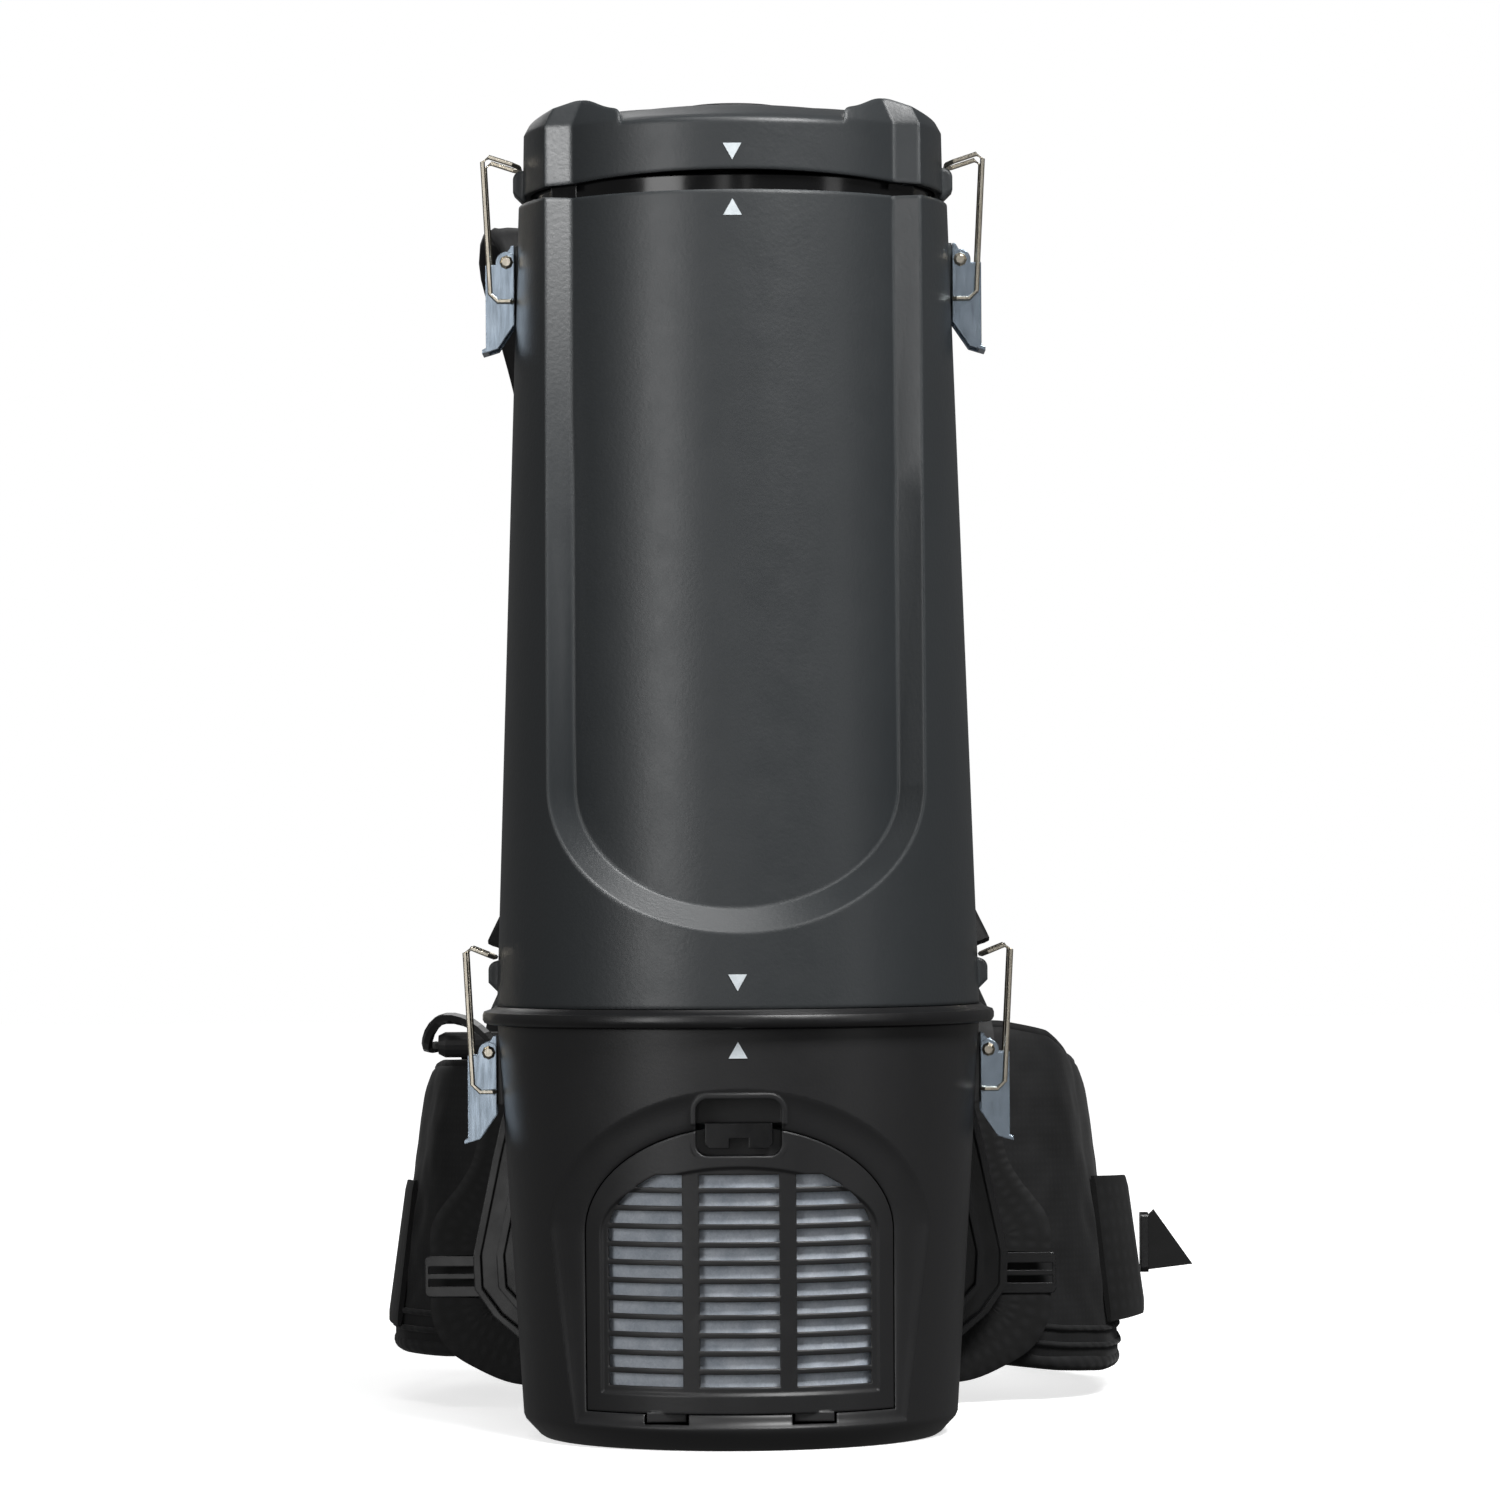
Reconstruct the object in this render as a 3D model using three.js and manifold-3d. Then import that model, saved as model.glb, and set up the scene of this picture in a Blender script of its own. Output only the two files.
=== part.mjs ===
// Backpack vacuum cleaner: a tapered canister in three latched sections (lid, bag chamber and motor
// base) on a moulded back frame with a padded waist belt and shoulder straps.
// Millimetres, +Z up. The origin is the centre of the base's flat underside, the exhaust door faces
// -Y and the wearer's back is on the +Y side.
import * as THREE from 'three';
import { mergeVertices } from 'three/addons/utils/BufferGeometryUtils.js';
import Module from 'manifold-3d';

const wasm = await Module();
wasm.setup();

// Fits
const gap = 0.3; // between pieces that touch
const overrun = 8; // how far a cutter runs past what it cuts
const weld = 0.0005; // vertices closer than this are one

// Canister
const wall = 3;
const baseHeight = 172;
const baseTopRadius = 101;
const baseTaper = 10;
const baseLowRadius = baseTopRadius - baseTaper;
const footHeight = 8;
const footTurnIn = 6.5;
const footRadius = baseLowRadius - footTurnIn;
const floorThickness = 4;
const ringHeight = 8;
const ringOverhang = 6.3;
const ringRadius = baseTopRadius + ringOverhang;
const ringLip = 1.8;
const chamberFoot = baseHeight + ringHeight;
const chamberHeight = 334;
const chamberTop = chamberFoot + chamberHeight;
const chamberStep = 0.2; // how far the chamber's foot stands out from the base
const chamberLowRadius = baseTopRadius + chamberStep;
const chamberTaper = 11.3;
const chamberTopRadius = chamberLowRadius - chamberTaper;
const spigotDepth = 12;
const spigotStep = 4;
const spigotClearance = 0.8;

// Flats and bowed panel on the canister's front
const flatSetIn = 12.4;
const flatWidth = 11;
const flatOuter = chamberTopRadius - flatSetIn;
const flatInner = flatOuter - flatWidth;
const panelFlatter = 1.1; // the panel's radius is this much larger than the canister's
const panelRadius = chamberTopRadius + panelFlatter;
const panelDepth = 19; // from the round front back to the panel's middle
// the panel's axis lies this far behind the canister's axis at the top
const panelBack = panelFlatter + panelDepth;
const archOuterRise = 30.8;
const archOuterFoot = chamberFoot + archOuterRise;
const archBand = 9.6;
const archInnerFoot = archOuterFoot + archBand;
const archSpringRise = 90.5;
const archSpring = chamberFoot + archSpringRise;
const panelBite = 3;

// Lid
const lidGap = 4.6;
const lidFoot = chamberTop + lidGap;
const lidSetIn = 1.8;
const lidRadius = chamberTopRadius - lidSetIn;
const lidSkirt = 25.4;
const lidEdge = lidFoot + lidSkirt;
const domeRise = 11;
const lidTop = lidEdge + domeRise;
const shoulderRise = 11.6;
const shoulderPeak = lidEdge + shoulderRise;
const shoulderSideRise = 3.5;
const shoulderSide = lidEdge + shoulderSideRise;
const crestSetIn = 5;
const shoulderCrest = flatInner - crestSetIn;
const crestWidth = 9.5;
const shoulderInner = shoulderCrest - crestWidth;
const shoulderSetIn = 2.1;
const shoulderOuter = lidRadius - shoulderSetIn;
const skirtArch = 3.8;
const skirtArchBeyond = 2.5;
const skirtArchHalf = flatOuter + skirtArchBeyond;
const lidWall = 3;
const lidLean = 0.5;
const domeInsetShares = [0.86, 0.6, 0.32, 0.1];
const domeRiseShares = [0.36, 0.72, 0.94, 1];
const shoulderInsetShare = 0.88;
const sealHeight = 13;
const sealWall = 4;
const sealInChamber = 6;

// Hose inlet
const inletBore = 19;
const inletWall = 2.5;
const inletFlange = 27;
const inletFlangeThickness = 3;
const inletProud = 0.6;
const inletDepth = 48;

// Bag and filters in the chamber
const collarThickness = 2.5;
const collarBore = 23;
const collarBelowMouth = 16;
const collarInset = 9;
const ledgeHeight = 3;
const bagRoom = 7.9; // between the bag's mouth and the panel
const bagRadius = chamberTopRadius - panelDepth - wall - bagRoom;
const bagTaper = 6;
const bagWall = 1.5;
const bagAboveGrid = 5.4;
const bagBow = 4;
const bagClearance = 3;
const gridThickness = 4;
const gridRib = 3.5;
const gridRings = 1;
const gridSpokes = 4;
const padFilterThickness = 9;
const filterClearance = 1;
const shelfHeight = 3;
const shelfDepth = 6;

// Motor in the base
const deckThickness = 3.5;
const deckBelowRim = 16;
const deckHole = 30;
const deckRib = 3;
const deckLedge = 5;
const motorBack = 6; // the motor stands this far behind the canister's axis
const canRoom = 35; // between the fan's casing and the base's rim
const canRadius = baseTopRadius - canRoom;
const canHeight = 28;
const canWall = 1.5;
const canEye = 22;
const portHalf = 8;
const sealRingHeight = 4.5;
const sealRingRadius = 40;
const fanTipRoom = 8;
const fanRadius = canRadius - fanTipRoom;
const fanBladeHeight = 16;
const fanDisc = 1.5;
const fanBlades = 7;
const fanBladeThickness = 1.5;
const bladeSweep = 0.9; // radians from a blade's root to its tip
const shaftRadius = 4;
const shaftHoleClearance = 0.6;
const airGap = 1;
const fieldBore = 24;
const armatureRadius = fieldBore - airGap;
const armatureProud = 1; // beyond each end of the field frame
const commutatorRadius = 13;
const fieldSetIn = 20;
const fieldWidth = 2 * (canRadius - fieldSetIn);
const fieldFlat = 14;
const fieldDepth = fieldWidth - fieldFlat;
const cupShare = 0.107; // heights of the motor's parts as shares of the room under the fan's casing
const bracketShare = 0.215;
const commutatorShare = 0.143;
const fieldShare = 0.358;
const bracketThickness = 2.5;
const bracketWidth = 26;
const bearingCup = 14;
const bootRadius = 20;
const bootWall = 3;

// Exhaust door
const doorSideMargin = 27.8;
const doorHalf = baseLowRadius - doorSideMargin;
const doorFoot = 15;
const doorBelowRim = 39.2;
const doorTop = baseHeight - doorBelowRim;
const doorArchRise = 44.2;
const doorSpring = doorTop - doorArchRise;
const doorClearance = 0.5;
const doorwayReach = baseLowRadius / 3; // the doorway's cut ends this far from the canister's axis
const doorSetBack = 2.8;
const doorThickness = 3;
const dishMargin = 15;
const dishFootMargin = 5;
const slotSideMargin = 9.8;
const slotHalf = doorHalf - slotSideMargin;
const slotTopMargin = 13.2;
const slotTop = doorTop - slotTopMargin;
const slotFirstDrop = 6.9;
const slotFirstTop = slotTop - slotFirstDrop;
const slotFootMargin = 11.3;
const slotRows = 12;
const slotOpenShare = 0.705; // of the pitch
const slotPitch = (slotFirstTop - doorFoot - slotFootMargin) / (slotRows - 1 + slotOpenShare);
const slotHeight = slotPitch * slotOpenShare;
const centreSlotHalf = 16.2;
const slotColumnRib = 7;
const hingeForward = 0.6;
const tabWidth = 16;
const tabOffset = 30;
const tabDrop = 3;
const tabThickness = 2;
const tabSlack = 1;
const exhaustFilterThickness = 11;
const exhaustFilterMargin = 6;

// Door catch and its finger well
const wellHalf = 17.5;
const wellAboveDoor = 11;
const wellTop = doorTop + wellAboveDoor;
const wellHeight = 23.5;
const wellFoot = wellTop - wellHeight;
const wellDepth = 9;
const wellFloor = 2;
const wellCorner = 5;
const catchHalf = 13.6;
const catchFootRise = 3.1;
const catchFoot = wellFoot + catchFootRise;
const catchHeight = 10.2;
const catchTop = catchFoot + catchHeight;
const catchThickness = 3.5;
const catchNotchHalf = 4;
const catchNotchHeight = 4;
const catchStemHalf = 6;

// Latches, one at each side of both joints
const sheet = 1.2;
const rivetOut = 4.25; // from the wall out to the rivet's axis
const upperRivetDrop = 23;
const upperRivetHeight = chamberTop - upperRivetDrop;
const lowerRivetDrop = 11.6;
const lowerRivetHeight = baseHeight - lowerRivetDrop;
const rivetRadius = 2;
const rivetHeadRadius = 2.9;
const rivetHeadHeight = 1;
const rivetDomeShare = 0.6;
const earRadius = 4.4;
const plateHalf = 8.2;
const plateBack = 3.2; // from the rivet's axis in to the plate's back
const plateFoot = 22;
const plateHead = 7;
const padDepth = 2.5;
const leverFace = 8.8;
const leverWallSide = 3.2;
const leverHeel = 26;
const leverHeelTurn = Math.PI * 0.75; // how far the lever's head runs round its rivet
const leverTip = 37.4;
const leverTipBack = 3.8;
const leverLip = 1.6;
const pinHoleClearance = 0.25;
const bailWire = 1;
const bailBend = 3;
const bailPivotIn = 2.7;
const bailPivotDown = 16.4;
const bailElbow = 6.6;
const bailCorner = 9.8;
const bailCornerHeight = 44.8;
const bailHookHeight = 39.8;
const bailSeatGap = 0.45;
const bailWallGap = 0.4;
const lugProud = 3.9;
const lugHeight = 13;
const lugHalf = 8.5;
const lugRoot = 1.6;

// Back frame
const frameRoom = 7.8; // between the base's rim and the frame
const frameFace = baseTopRadius + frameRoom;
const frameThickness = 12;
const frameWeb = 3.5;
const frameRim = 3.2;
const frameGroove = 7;
const frameFootZ = 20;
const frameWideZ = 52;
const frameWideBeyond = 19.5;
const frameWideHalf = baseTopRadius + frameWideBeyond;
const frameFootSetIn = 36.5;
const frameFootHalf = frameWideHalf - frameFootSetIn;
const frameKneeDrop = 46;
const frameKneeZ = baseHeight - frameKneeDrop;
const frameKneeSetIn = 15.5;
const frameKneeHalf = frameWideHalf - frameKneeSetIn;
const frameWaistRise = 58;
const frameWaistZ = baseHeight + frameWaistRise;
const frameWaistHalf = 74;
const frameTopDrop = 14;
const frameTopZ = chamberTop - frameTopDrop;
const frameTopHalf = 46;
const frameNeckDrop = 120;
const frameNeckZ = frameTopZ - frameNeckDrop;
const frameNeckHalf = 52;
const frameCorner = 16;
const windowLowZ = 62;
const windowBelowRim = 24;
const windowHighZ = baseHeight - windowBelowRim;
const windowInner = 20;
const windowMargin = 20;
const slotWindowZ = 36;
const slotWindowHeight = 14;
const spineWindowMargin = 10;
const spineWindowLow = chamberFoot + spineWindowMargin;
const spineWindowHigh = frameNeckZ - 3 * spineWindowMargin;
const spineWindowHalf = 26;
const bossRadius = 8;
const bossX = 11;
const bossLowZ = 56;
const bossBelowRim = 30;
const bossHighZ = baseHeight - bossBelowRim;
const bossWallGap = 0.4;

// Belt support rod and its clips
const rodRadius = 5.6;
const rodBelowRim = 11.5;
const rodZ = baseHeight - rodBelowRim;
const rodBeforeFrame = 1.3;
const rodY = frameFace - rodBeforeFrame;
const rodBeyond = 11.1;
const rodLeft = frameWideHalf + rodBeyond;
const rodShort = 23.5;
const rodRight = frameWideHalf - rodShort;
const rodEnd = 3;
// Padded belt: a pad behind the frame and a wing round each hip
const padEdge = 3.5;
const padGap = 0.4; // between a pad and the webbing on it
const lumbarHalf = 82;
const lumbarFoot = 42;
const lumbarBelowRim = 4;
const lumbarTop = baseHeight - lumbarBelowRim;
const lumbarThickness = 19;
const lumbarGap = 0.5;
const padChannel = 2.6;
const padChannelShare = 1 / 3;
const wingThickness = 12;
const wingEdge = 4;
const wingSetIn = 21;
const wingStart = frameKneeHalf - wingSetIn;
const wingBehindFrame = 10.1;
const wingFaceY = frameFace + frameThickness + wingBehindFrame;
const wingDepth = 170;
const wingBeyond = { left: 23.5, right: 37.5 };
const wingBelowRim = { left: 20, right: 4 };
const wingLow = { left: 22, right: 12 };
const wingTipBelowRim = 54;
const wingTipTop = baseHeight - wingTipBelowRim;
const wingTipFoot = 41;
const wingFlare = 9; // how far the foot of a wing stands out, and its top in
const wingOutShares = [0, 0.42, 0.72, 0.92, 1, 0.86, 0.58];
const wingBackShares = [0, 0.01, 0.06, 0.19, 0.42, 0.71, 1];
const wingTopShares = { left: [0.97, 1, 0.97, 0.95, 0.85, 0.55, 0],
  right: [1, 0.98, 0.89, 0.68, 0.57, 0.39, 0] };
const wingFootShares = { left: [0.1, 0.05, 0, 0, 0, 0.3, 1], right: [0.29, 0.18, 0.07, 0, 0, 0.36, 1] };
const wingFlareShares = [0, 0, 0.4, 0.9, 1, 1, 1];

// Webbing, adjusters and buckle
const webbing = 2.4;
const hipBandHeight = 65;
const hipBandMiddle = 66;
const hipBandTipHeight = 40;
const hipStartShare = 0.5;
const hipBeyond = 26;
const hipBulge = { left: 0, right: 14 };
const hipTaperShares = [0, 0.1, 0.66, 0.85, 0.95, 1];
const hipBulgeShares = [0, 0.7, 1, 0.8, 0.35, 0.05];
const tailLength = 20;
const tailHeight = 25;
const tailFootZ = 53;
const glideShare = 0.3; // along the hip webbing
const glideWidth = 3.5;
const glideDepth = 12;
const glideHeight = 27;
const buckleWidth = 46;
const buckleLength = 38;
const buckleThickness = 12;
const buckleProng = 17;
const prongShare = 0.9;
const lowerStrapWidth = 25;
const lowerStrapBehindFrame = 2.05;
const lowerStrapY = frameFace + frameThickness + lowerStrapBehindFrame;
const adjusterWidth = 30;
const adjusterHeight = 18;
const adjusterThickness = 3.5;
const adjusterBar = 3.2;
const adjusterBeyond = 3.5;
const adjusterX = frameWideHalf + adjusterBeyond;
const adjusterZ = 58;
const anchorAboveFoot = 2;
const anchorFoot = frameFootZ + anchorAboveFoot;

// Shoulder straps
const shoulderAboveRing = 16;
const shoulderFoot = chamberFoot + shoulderAboveRing;
const shoulderWidth = 52;
const shoulderThickness = 11;

// Switch and its lead
const leadRadius = 2.5;
const leadBore = 3.1;
const glandRadius = 6;
const glandLength = 12;
const glandSeat = 0.8;
const glandBelowRim = 14;
const glandHeight = baseHeight - glandBelowRim;
const glandAngle = 150;
const boxWidth = 24;
const boxLength = 36;
const boxDepth = 10;
const boxFloor = 2.6;
const boxCorner = 3;
const boxHeight = 104.5; // of its middle above the floor
const boxShare = 0.89; // along the wing
const rockerWidth = 12;
const rockerReach = 9.5;
const rockerSpread = 20; // degrees either way of the rocker's ends
const rockerDrop = 2.4;
const rockerTilt = 7; // degrees

// Cord inlet on the side of the base
const socketAngle = 50;
const socketHeight = 62;
const socketRadius = 13;
const socketBore = 10;
const socketLength = 14;
const socketFloor = 3;
const pinSpread = 5;
const pinLength = 9;
const pinWidth = 4;
const pinThickness = 1.6;

const finish = (color, roughness, metalness = 0) =>
  new THREE.MeshStandardMaterial({ color, roughness, metalness });
const finishes = {
  charcoal: finish(0x3c4042, 0.55),
  black: finish(0x262627, 0.55),
  gloss: finish(0x141415, 0.2),
  rubber: finish(0x1b1b1b, 0.8),
  zinc: finish(0x9fb0bf, 0.35, 1),
  nickel: finish(0xc9c2b4, 0.25, 1),
  steel: finish(0x8d9196, 0.4, 1),
  copper: finish(0x9a5a35, 0.4, 1),
  fabric: finish(0x1d1d1e, 0.9),
  webbing: finish(0x151515, 0.85),
  felt: finish(0xd9dde2, 0.95),
  paper: finish(0xcdbf9f, 0.95),
  foam: finish(0x46494d, 1),
};

const model = new THREE.Group();

// A three.js geometry as a solid that can be cut and joined
function solid(geometry) {
  const bare = new THREE.BufferGeometry();
  bare.setAttribute('position', geometry.getAttribute('position'));
  if (geometry.index) bare.setIndex(geometry.index);
  const merged = mergeVertices(bare, weld);
  const corners = merged.index.array;
  const kept = [];
  for (let i = 0; i < corners.length; i += 3) {
    const [a, b, c] = [corners[i], corners[i + 1], corners[i + 2]];
    if (a !== b && b !== c && c !== a) kept.push(a, b, c);
  }
  const vertProperties = Float32Array.from(merged.getAttribute('position').array);
  return new wasm.Manifold(new wasm.Mesh({ numProp: 3, vertProperties, triVerts: Uint32Array.from(kept) }));
}

function skin(body) {
  const mesh = body.getMesh();
  const geometry = new THREE.BufferGeometry();
  geometry.setAttribute('position', new THREE.BufferAttribute(mesh.vertProperties, 3));
  geometry.setIndex(new THREE.BufferAttribute(mesh.triVerts, 1));
  return geometry;
}

function add(name, shape, material, parent = model) {
  const geometry = shape.isBufferGeometry ? shape : skin(shape);
  geometry.computeVertexNormals();
  const mesh = new THREE.Mesh(geometry, material);
  mesh.name = name;
  parent.add(mesh);
  return mesh;
}

const joined = (...bodies) => bodies.reduce((whole, body) => whole.add(body));
const lessAll = (body, cutters) => cutters.reduce((left, cutter) => left.subtract(cutter), body);
const spot = (x, y, z) => new THREE.Vector3(x, y, z);
const mix = (a, b, t) => a + (b - a) * t;

// Closed body through rings that have the same number of points
function loft(rings) {
  const count = rings[0].length;
  const middle = (ring) =>
    ring.reduce((sum, p) => sum.clone().add(p), spot(0, 0, 0)).divideScalar(ring.length);
  const points = [...rings.flat(), middle(rings[0]), middle(rings.at(-1))];
  const [foot, head] = [points.length - 2, points.length - 1];
  const faces = [];
  const last = (rings.length - 1) * count;
  for (let i = 0; i < count; i++) {
    const j = (i + 1) % count;
    faces.push(j, i, foot, last + i, last + j, head);
    for (let r = 0; r < last; r += count) {
      faces.push(r + i, r + j, r + count + j, r + i, r + count + j, r + count + i);
    }
  }
  let volume = 0;
  for (let i = 0; i < faces.length; i += 3) {
    volume += points[faces[i]].dot(points[faces[i + 1]].clone().cross(points[faces[i + 2]]));
  }
  if (volume < 0) faces.reverse();
  const geometry = new THREE.BufferGeometry().setFromPoints(points);
  geometry.setIndex(faces);
  return geometry;
}

// A turned body: the profile is a list of [radius, height] that starts and ends on the axis or closes
// on itself
function turned(profile, facets) {
  const geometry = new THREE.LatheGeometry(profile.map(([r, z]) => new THREE.Vector2(r, z)), facets);
  geometry.rotateX(Math.PI / 2);
  return solid(geometry);
}

const ringOf = (inner, outer, low, high, facets) =>
  turned([[inner, low], [outer, low], [outer, high], [inner, high], [inner, low]], facets);
const discOf = (radius, low, high, facets) =>
  turned([[0, low], [radius, low], [radius, high], [0, high]], facets);

// A flat outline drawn on X-Z, Y-Z or X-Y and thickened along the third axis, from low to high
const planes = {
  xz: [spot(1, 0, 0), spot(0, 0, 1), spot(0, -1, 0)],
  yz: [spot(0, 1, 0), spot(0, 0, 1), spot(1, 0, 0)],
  xy: [spot(1, 0, 0), spot(0, 1, 0), spot(0, 0, 1)],
};
function slab(plane, shape, low, high) {
  const [u, v, w] = planes[plane];
  const geometry = new THREE.ExtrudeGeometry(shape,
    { depth: high - low, bevelEnabled: false, curveSegments: arcSteps });
  geometry.applyMatrix4(new THREE.Matrix4().makeBasis(u, v, w));
  const start = plane === 'xz' ? -high : low;
  geometry.translate(w.x * start, w.y * start, w.z * start);
  return solid(geometry);
}

const outlineOf = (points) => new THREE.Shape(points.map(([x, y]) => new THREE.Vector2(x, y)));
const oblong = (x0, y0, x1, y1) => outlineOf([[x0, y0], [x1, y0], [x1, y1], [x0, y1]]);
function roundOblong(x0, y0, x1, y1, corner) {
  const shape = new THREE.Shape();
  shape.moveTo(x0 + corner, y0);
  shape.lineTo(x1 - corner, y0);
  shape.absarc(x1 - corner, y0 + corner, corner, -Math.PI / 2, 0);
  shape.lineTo(x1, y1 - corner);
  shape.absarc(x1 - corner, y1 - corner, corner, 0, Math.PI / 2);
  shape.lineTo(x0 + corner, y1);
  shape.absarc(x0 + corner, y1 - corner, corner, Math.PI / 2, Math.PI);
  shape.lineTo(x0, y0 + corner);
  shape.absarc(x0 + corner, y0 + corner, corner, Math.PI, Math.PI * 1.5);
  return shape;
}
function disc(x, y, radius) {
  const shape = new THREE.Shape();
  shape.absarc(x, y, radius, 0, Math.PI * 2);
  return shape;
}

// The same body turned, moved or mirrored
function moved(body, matrix) {
  const geometry = skin(body);
  geometry.applyMatrix4(matrix);
  if (matrix.determinant() < 0) geometry.index.array.reverse();
  return solid(geometry);
}
const mirror = new THREE.Matrix4().makeScale(-1, 1, 1);
const sided = (side, body) => (side < 0 ? moved(body, mirror) : body);
const turnedTo = (u, v, w, at) => new THREE.Matrix4().makeBasis(u, v, w).setPosition(at);
const alongY = (at) => turnedTo(spot(1, 0, 0), spot(0, 0, -1), spot(0, 1, 0), at);
const alongX = (at) => turnedTo(spot(0, 1, 0), spot(0, 0, 1), spot(1, 0, 0), at);

// Polyline with its corners rounded
function rounded(corners, bend, steps) {
  const path = [corners[0]];
  for (let i = 1; i < corners.length - 1; i++) {
    const [before, at, after] = [corners[i - 1], corners[i], corners[i + 1]];
    const reach = Math.min(bend, before.distanceTo(at) / 2, after.distanceTo(at) / 2);
    const into = at.clone().lerp(before, reach / before.distanceTo(at));
    const out = at.clone().lerp(after, reach / after.distanceTo(at));
    path.push(...new THREE.QuadraticBezierCurve3(into, at, out).getPoints(steps));
  }
  path.push(corners.at(-1));
  return path;
}

// Round wire along a path
function wire(path, radius, sides) {
  const tangents = path.map((p, i) => {
    const ahead = path[Math.min(i + 1, path.length - 1)];
    return ahead.clone().sub(path[Math.max(i - 1, 0)]).normalize();
  });
  let normal = Math.abs(tangents[0].z) < 0.9 ? spot(0, 0, 1) : spot(1, 0, 0);
  const rings = path.map((p, i) => {
    normal = normal.clone().addScaledVector(tangents[i], -normal.dot(tangents[i])).normalize();
    const other = tangents[i].clone().cross(normal);
    return Array.from({ length: sides }, (_, k) => {
      const angle = (k / sides) * Math.PI * 2;
      return p.clone().addScaledVector(normal, radius * Math.cos(angle))
        .addScaledVector(other, radius * Math.sin(angle));
    });
  });
  return loft(rings);
}

// Flat or padded band along a curve. Across it lies the direction across; it is crowned by its thickness
function band(curve, steps, across, width, thickness, edge, columns = 1) {
  const rings = [];
  for (let i = 0; i <= steps; i++) {
    const s = i / steps;
    const centre = curve.getPointAt(s);
    const tangent = curve.getTangentAt(s);
    const over = across(s).clone().addScaledVector(tangent, -across(s).dot(tangent)).normalize();
    const out = tangent.clone().cross(over);
    const half = width(s) / 2;
    const ring = [];
    for (const side of [1, -1]) {
      for (let k = 0; k <= columns; k++) {
        const v = side * (1 - (2 * k) / columns);
        const thick = mix(edge, thickness(s), Math.sqrt(1 - v * v)) / 2;
        ring.push(centre.clone().addScaledVector(over, v * half).addScaledVector(out, side * thick));
      }
    }
    rings.push(ring);
  }
  return loft(rings);
}

// Canister outlines
const baseRadiusAt = (z) => mix(baseLowRadius, baseTopRadius, (z - footHeight) / (baseHeight - footHeight));
const taper = (chamberLowRadius - chamberTopRadius) / (chamberTop - chamberFoot);
const chamberRadiusAt = (z) => chamberTopRadius + (chamberTop - z) * taper;
const panelBackAt = (z) => panelBack - (chamberTop - z) * taper;
const panelFront = (x, z, inset = 0) => panelBackAt(z) - Math.sqrt((panelRadius - inset) ** 2 - x * x);
const facets = 32;
const backSteps = 22;
const frontSteps = 6;
const archSteps = 12;
const fieldSteps = 10; // round the arch of the door's slots
const middleFacets = 24; // of round pieces about half the canister's size
const smallFacets = 16;
const pinFacets = 8;
const wireSides = 6;
const arcSteps = 4; // of an outline's round corner
const bailSteps = 1;
const frameSteps = 2;

const collarFoot = chamberTop - collarBelowMouth;
const shelfTop = chamberFoot + spigotStep + shelfHeight;
const gridFoot = shelfTop + gap + padFilterThickness + gap;
const bagFoot = gridFoot + gridThickness + bagAboveGrid;
const upperRivetRadius = chamberRadiusAt(upperRivetHeight) + rivetOut;
const lowerRivetRadius = baseRadiusAt(lowerRivetHeight) + rivetOut;
const spigotOuter = baseTopRadius - wall - spigotClearance;

// Where the right flat meets the round side and the bowed panel, at a section of this radius, set in
// by a wall
function flatEnds(radius, inset) {
  const outer = new THREE.Vector2(flatOuter, -Math.sqrt(radius ** 2 - flatOuter ** 2));
  const inner = new THREE.Vector2(flatInner, panelFront(flatInner, chamberTop));
  const run = inner.clone().sub(outer).normalize();
  const from = outer.addScaledVector(new THREE.Vector2(run.y, -run.x), inset);
  const meet = (centreY, r) => {
    const along = from.clone().sub(new THREE.Vector2(0, centreY));
    const half = along.dot(run);
    return from.clone().addScaledVector(run, -half - Math.sqrt(half ** 2 - along.lengthSq() + r ** 2));
  };
  return [meet(0, radius - inset), meet(panelBack, panelRadius - inset)];
}

// Ring of points round the canister at height z: round back and sides, two flats and a bowed front panel
function planRing(z, radius, inset = 0, share = 1) {
  const [outer, inner] = flatEnds(radius, inset);
  const start = Math.atan2(outer.y, outer.x);
  const ring = [];
  for (let i = 0; i <= backSteps; i++) {
    const angle = mix(start, Math.PI - start, i / backSteps);
    const reach = (radius - inset) * share;
    ring.push(spot(reach * Math.cos(angle), reach * Math.sin(angle), z));
  }
  for (let i = 0; i <= frontSteps; i++) {
    const x = mix(-inner.x, inner.x, i / frontSteps);
    ring.push(spot(x * share, panelFront(x, chamberTop, inset) * share, z));
  }
  return ring;
}

// U-shaped line down one side of the panel, round its foot and up the other side, as [x, z] pairs
function archLine(half, foot, spring, top) {
  const line = [[-half, top], [-half, mix(spring, top, 0.5)]];
  for (let i = 0; i <= archSteps; i++) {
    const angle = Math.PI * (1 + i / archSteps);
    line.push([half * Math.cos(angle), spring + (spring - foot) * Math.sin(angle)]);
  }
  line.push([half, mix(spring, top, 0.5)], [half, top]);
  return line;
}

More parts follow.
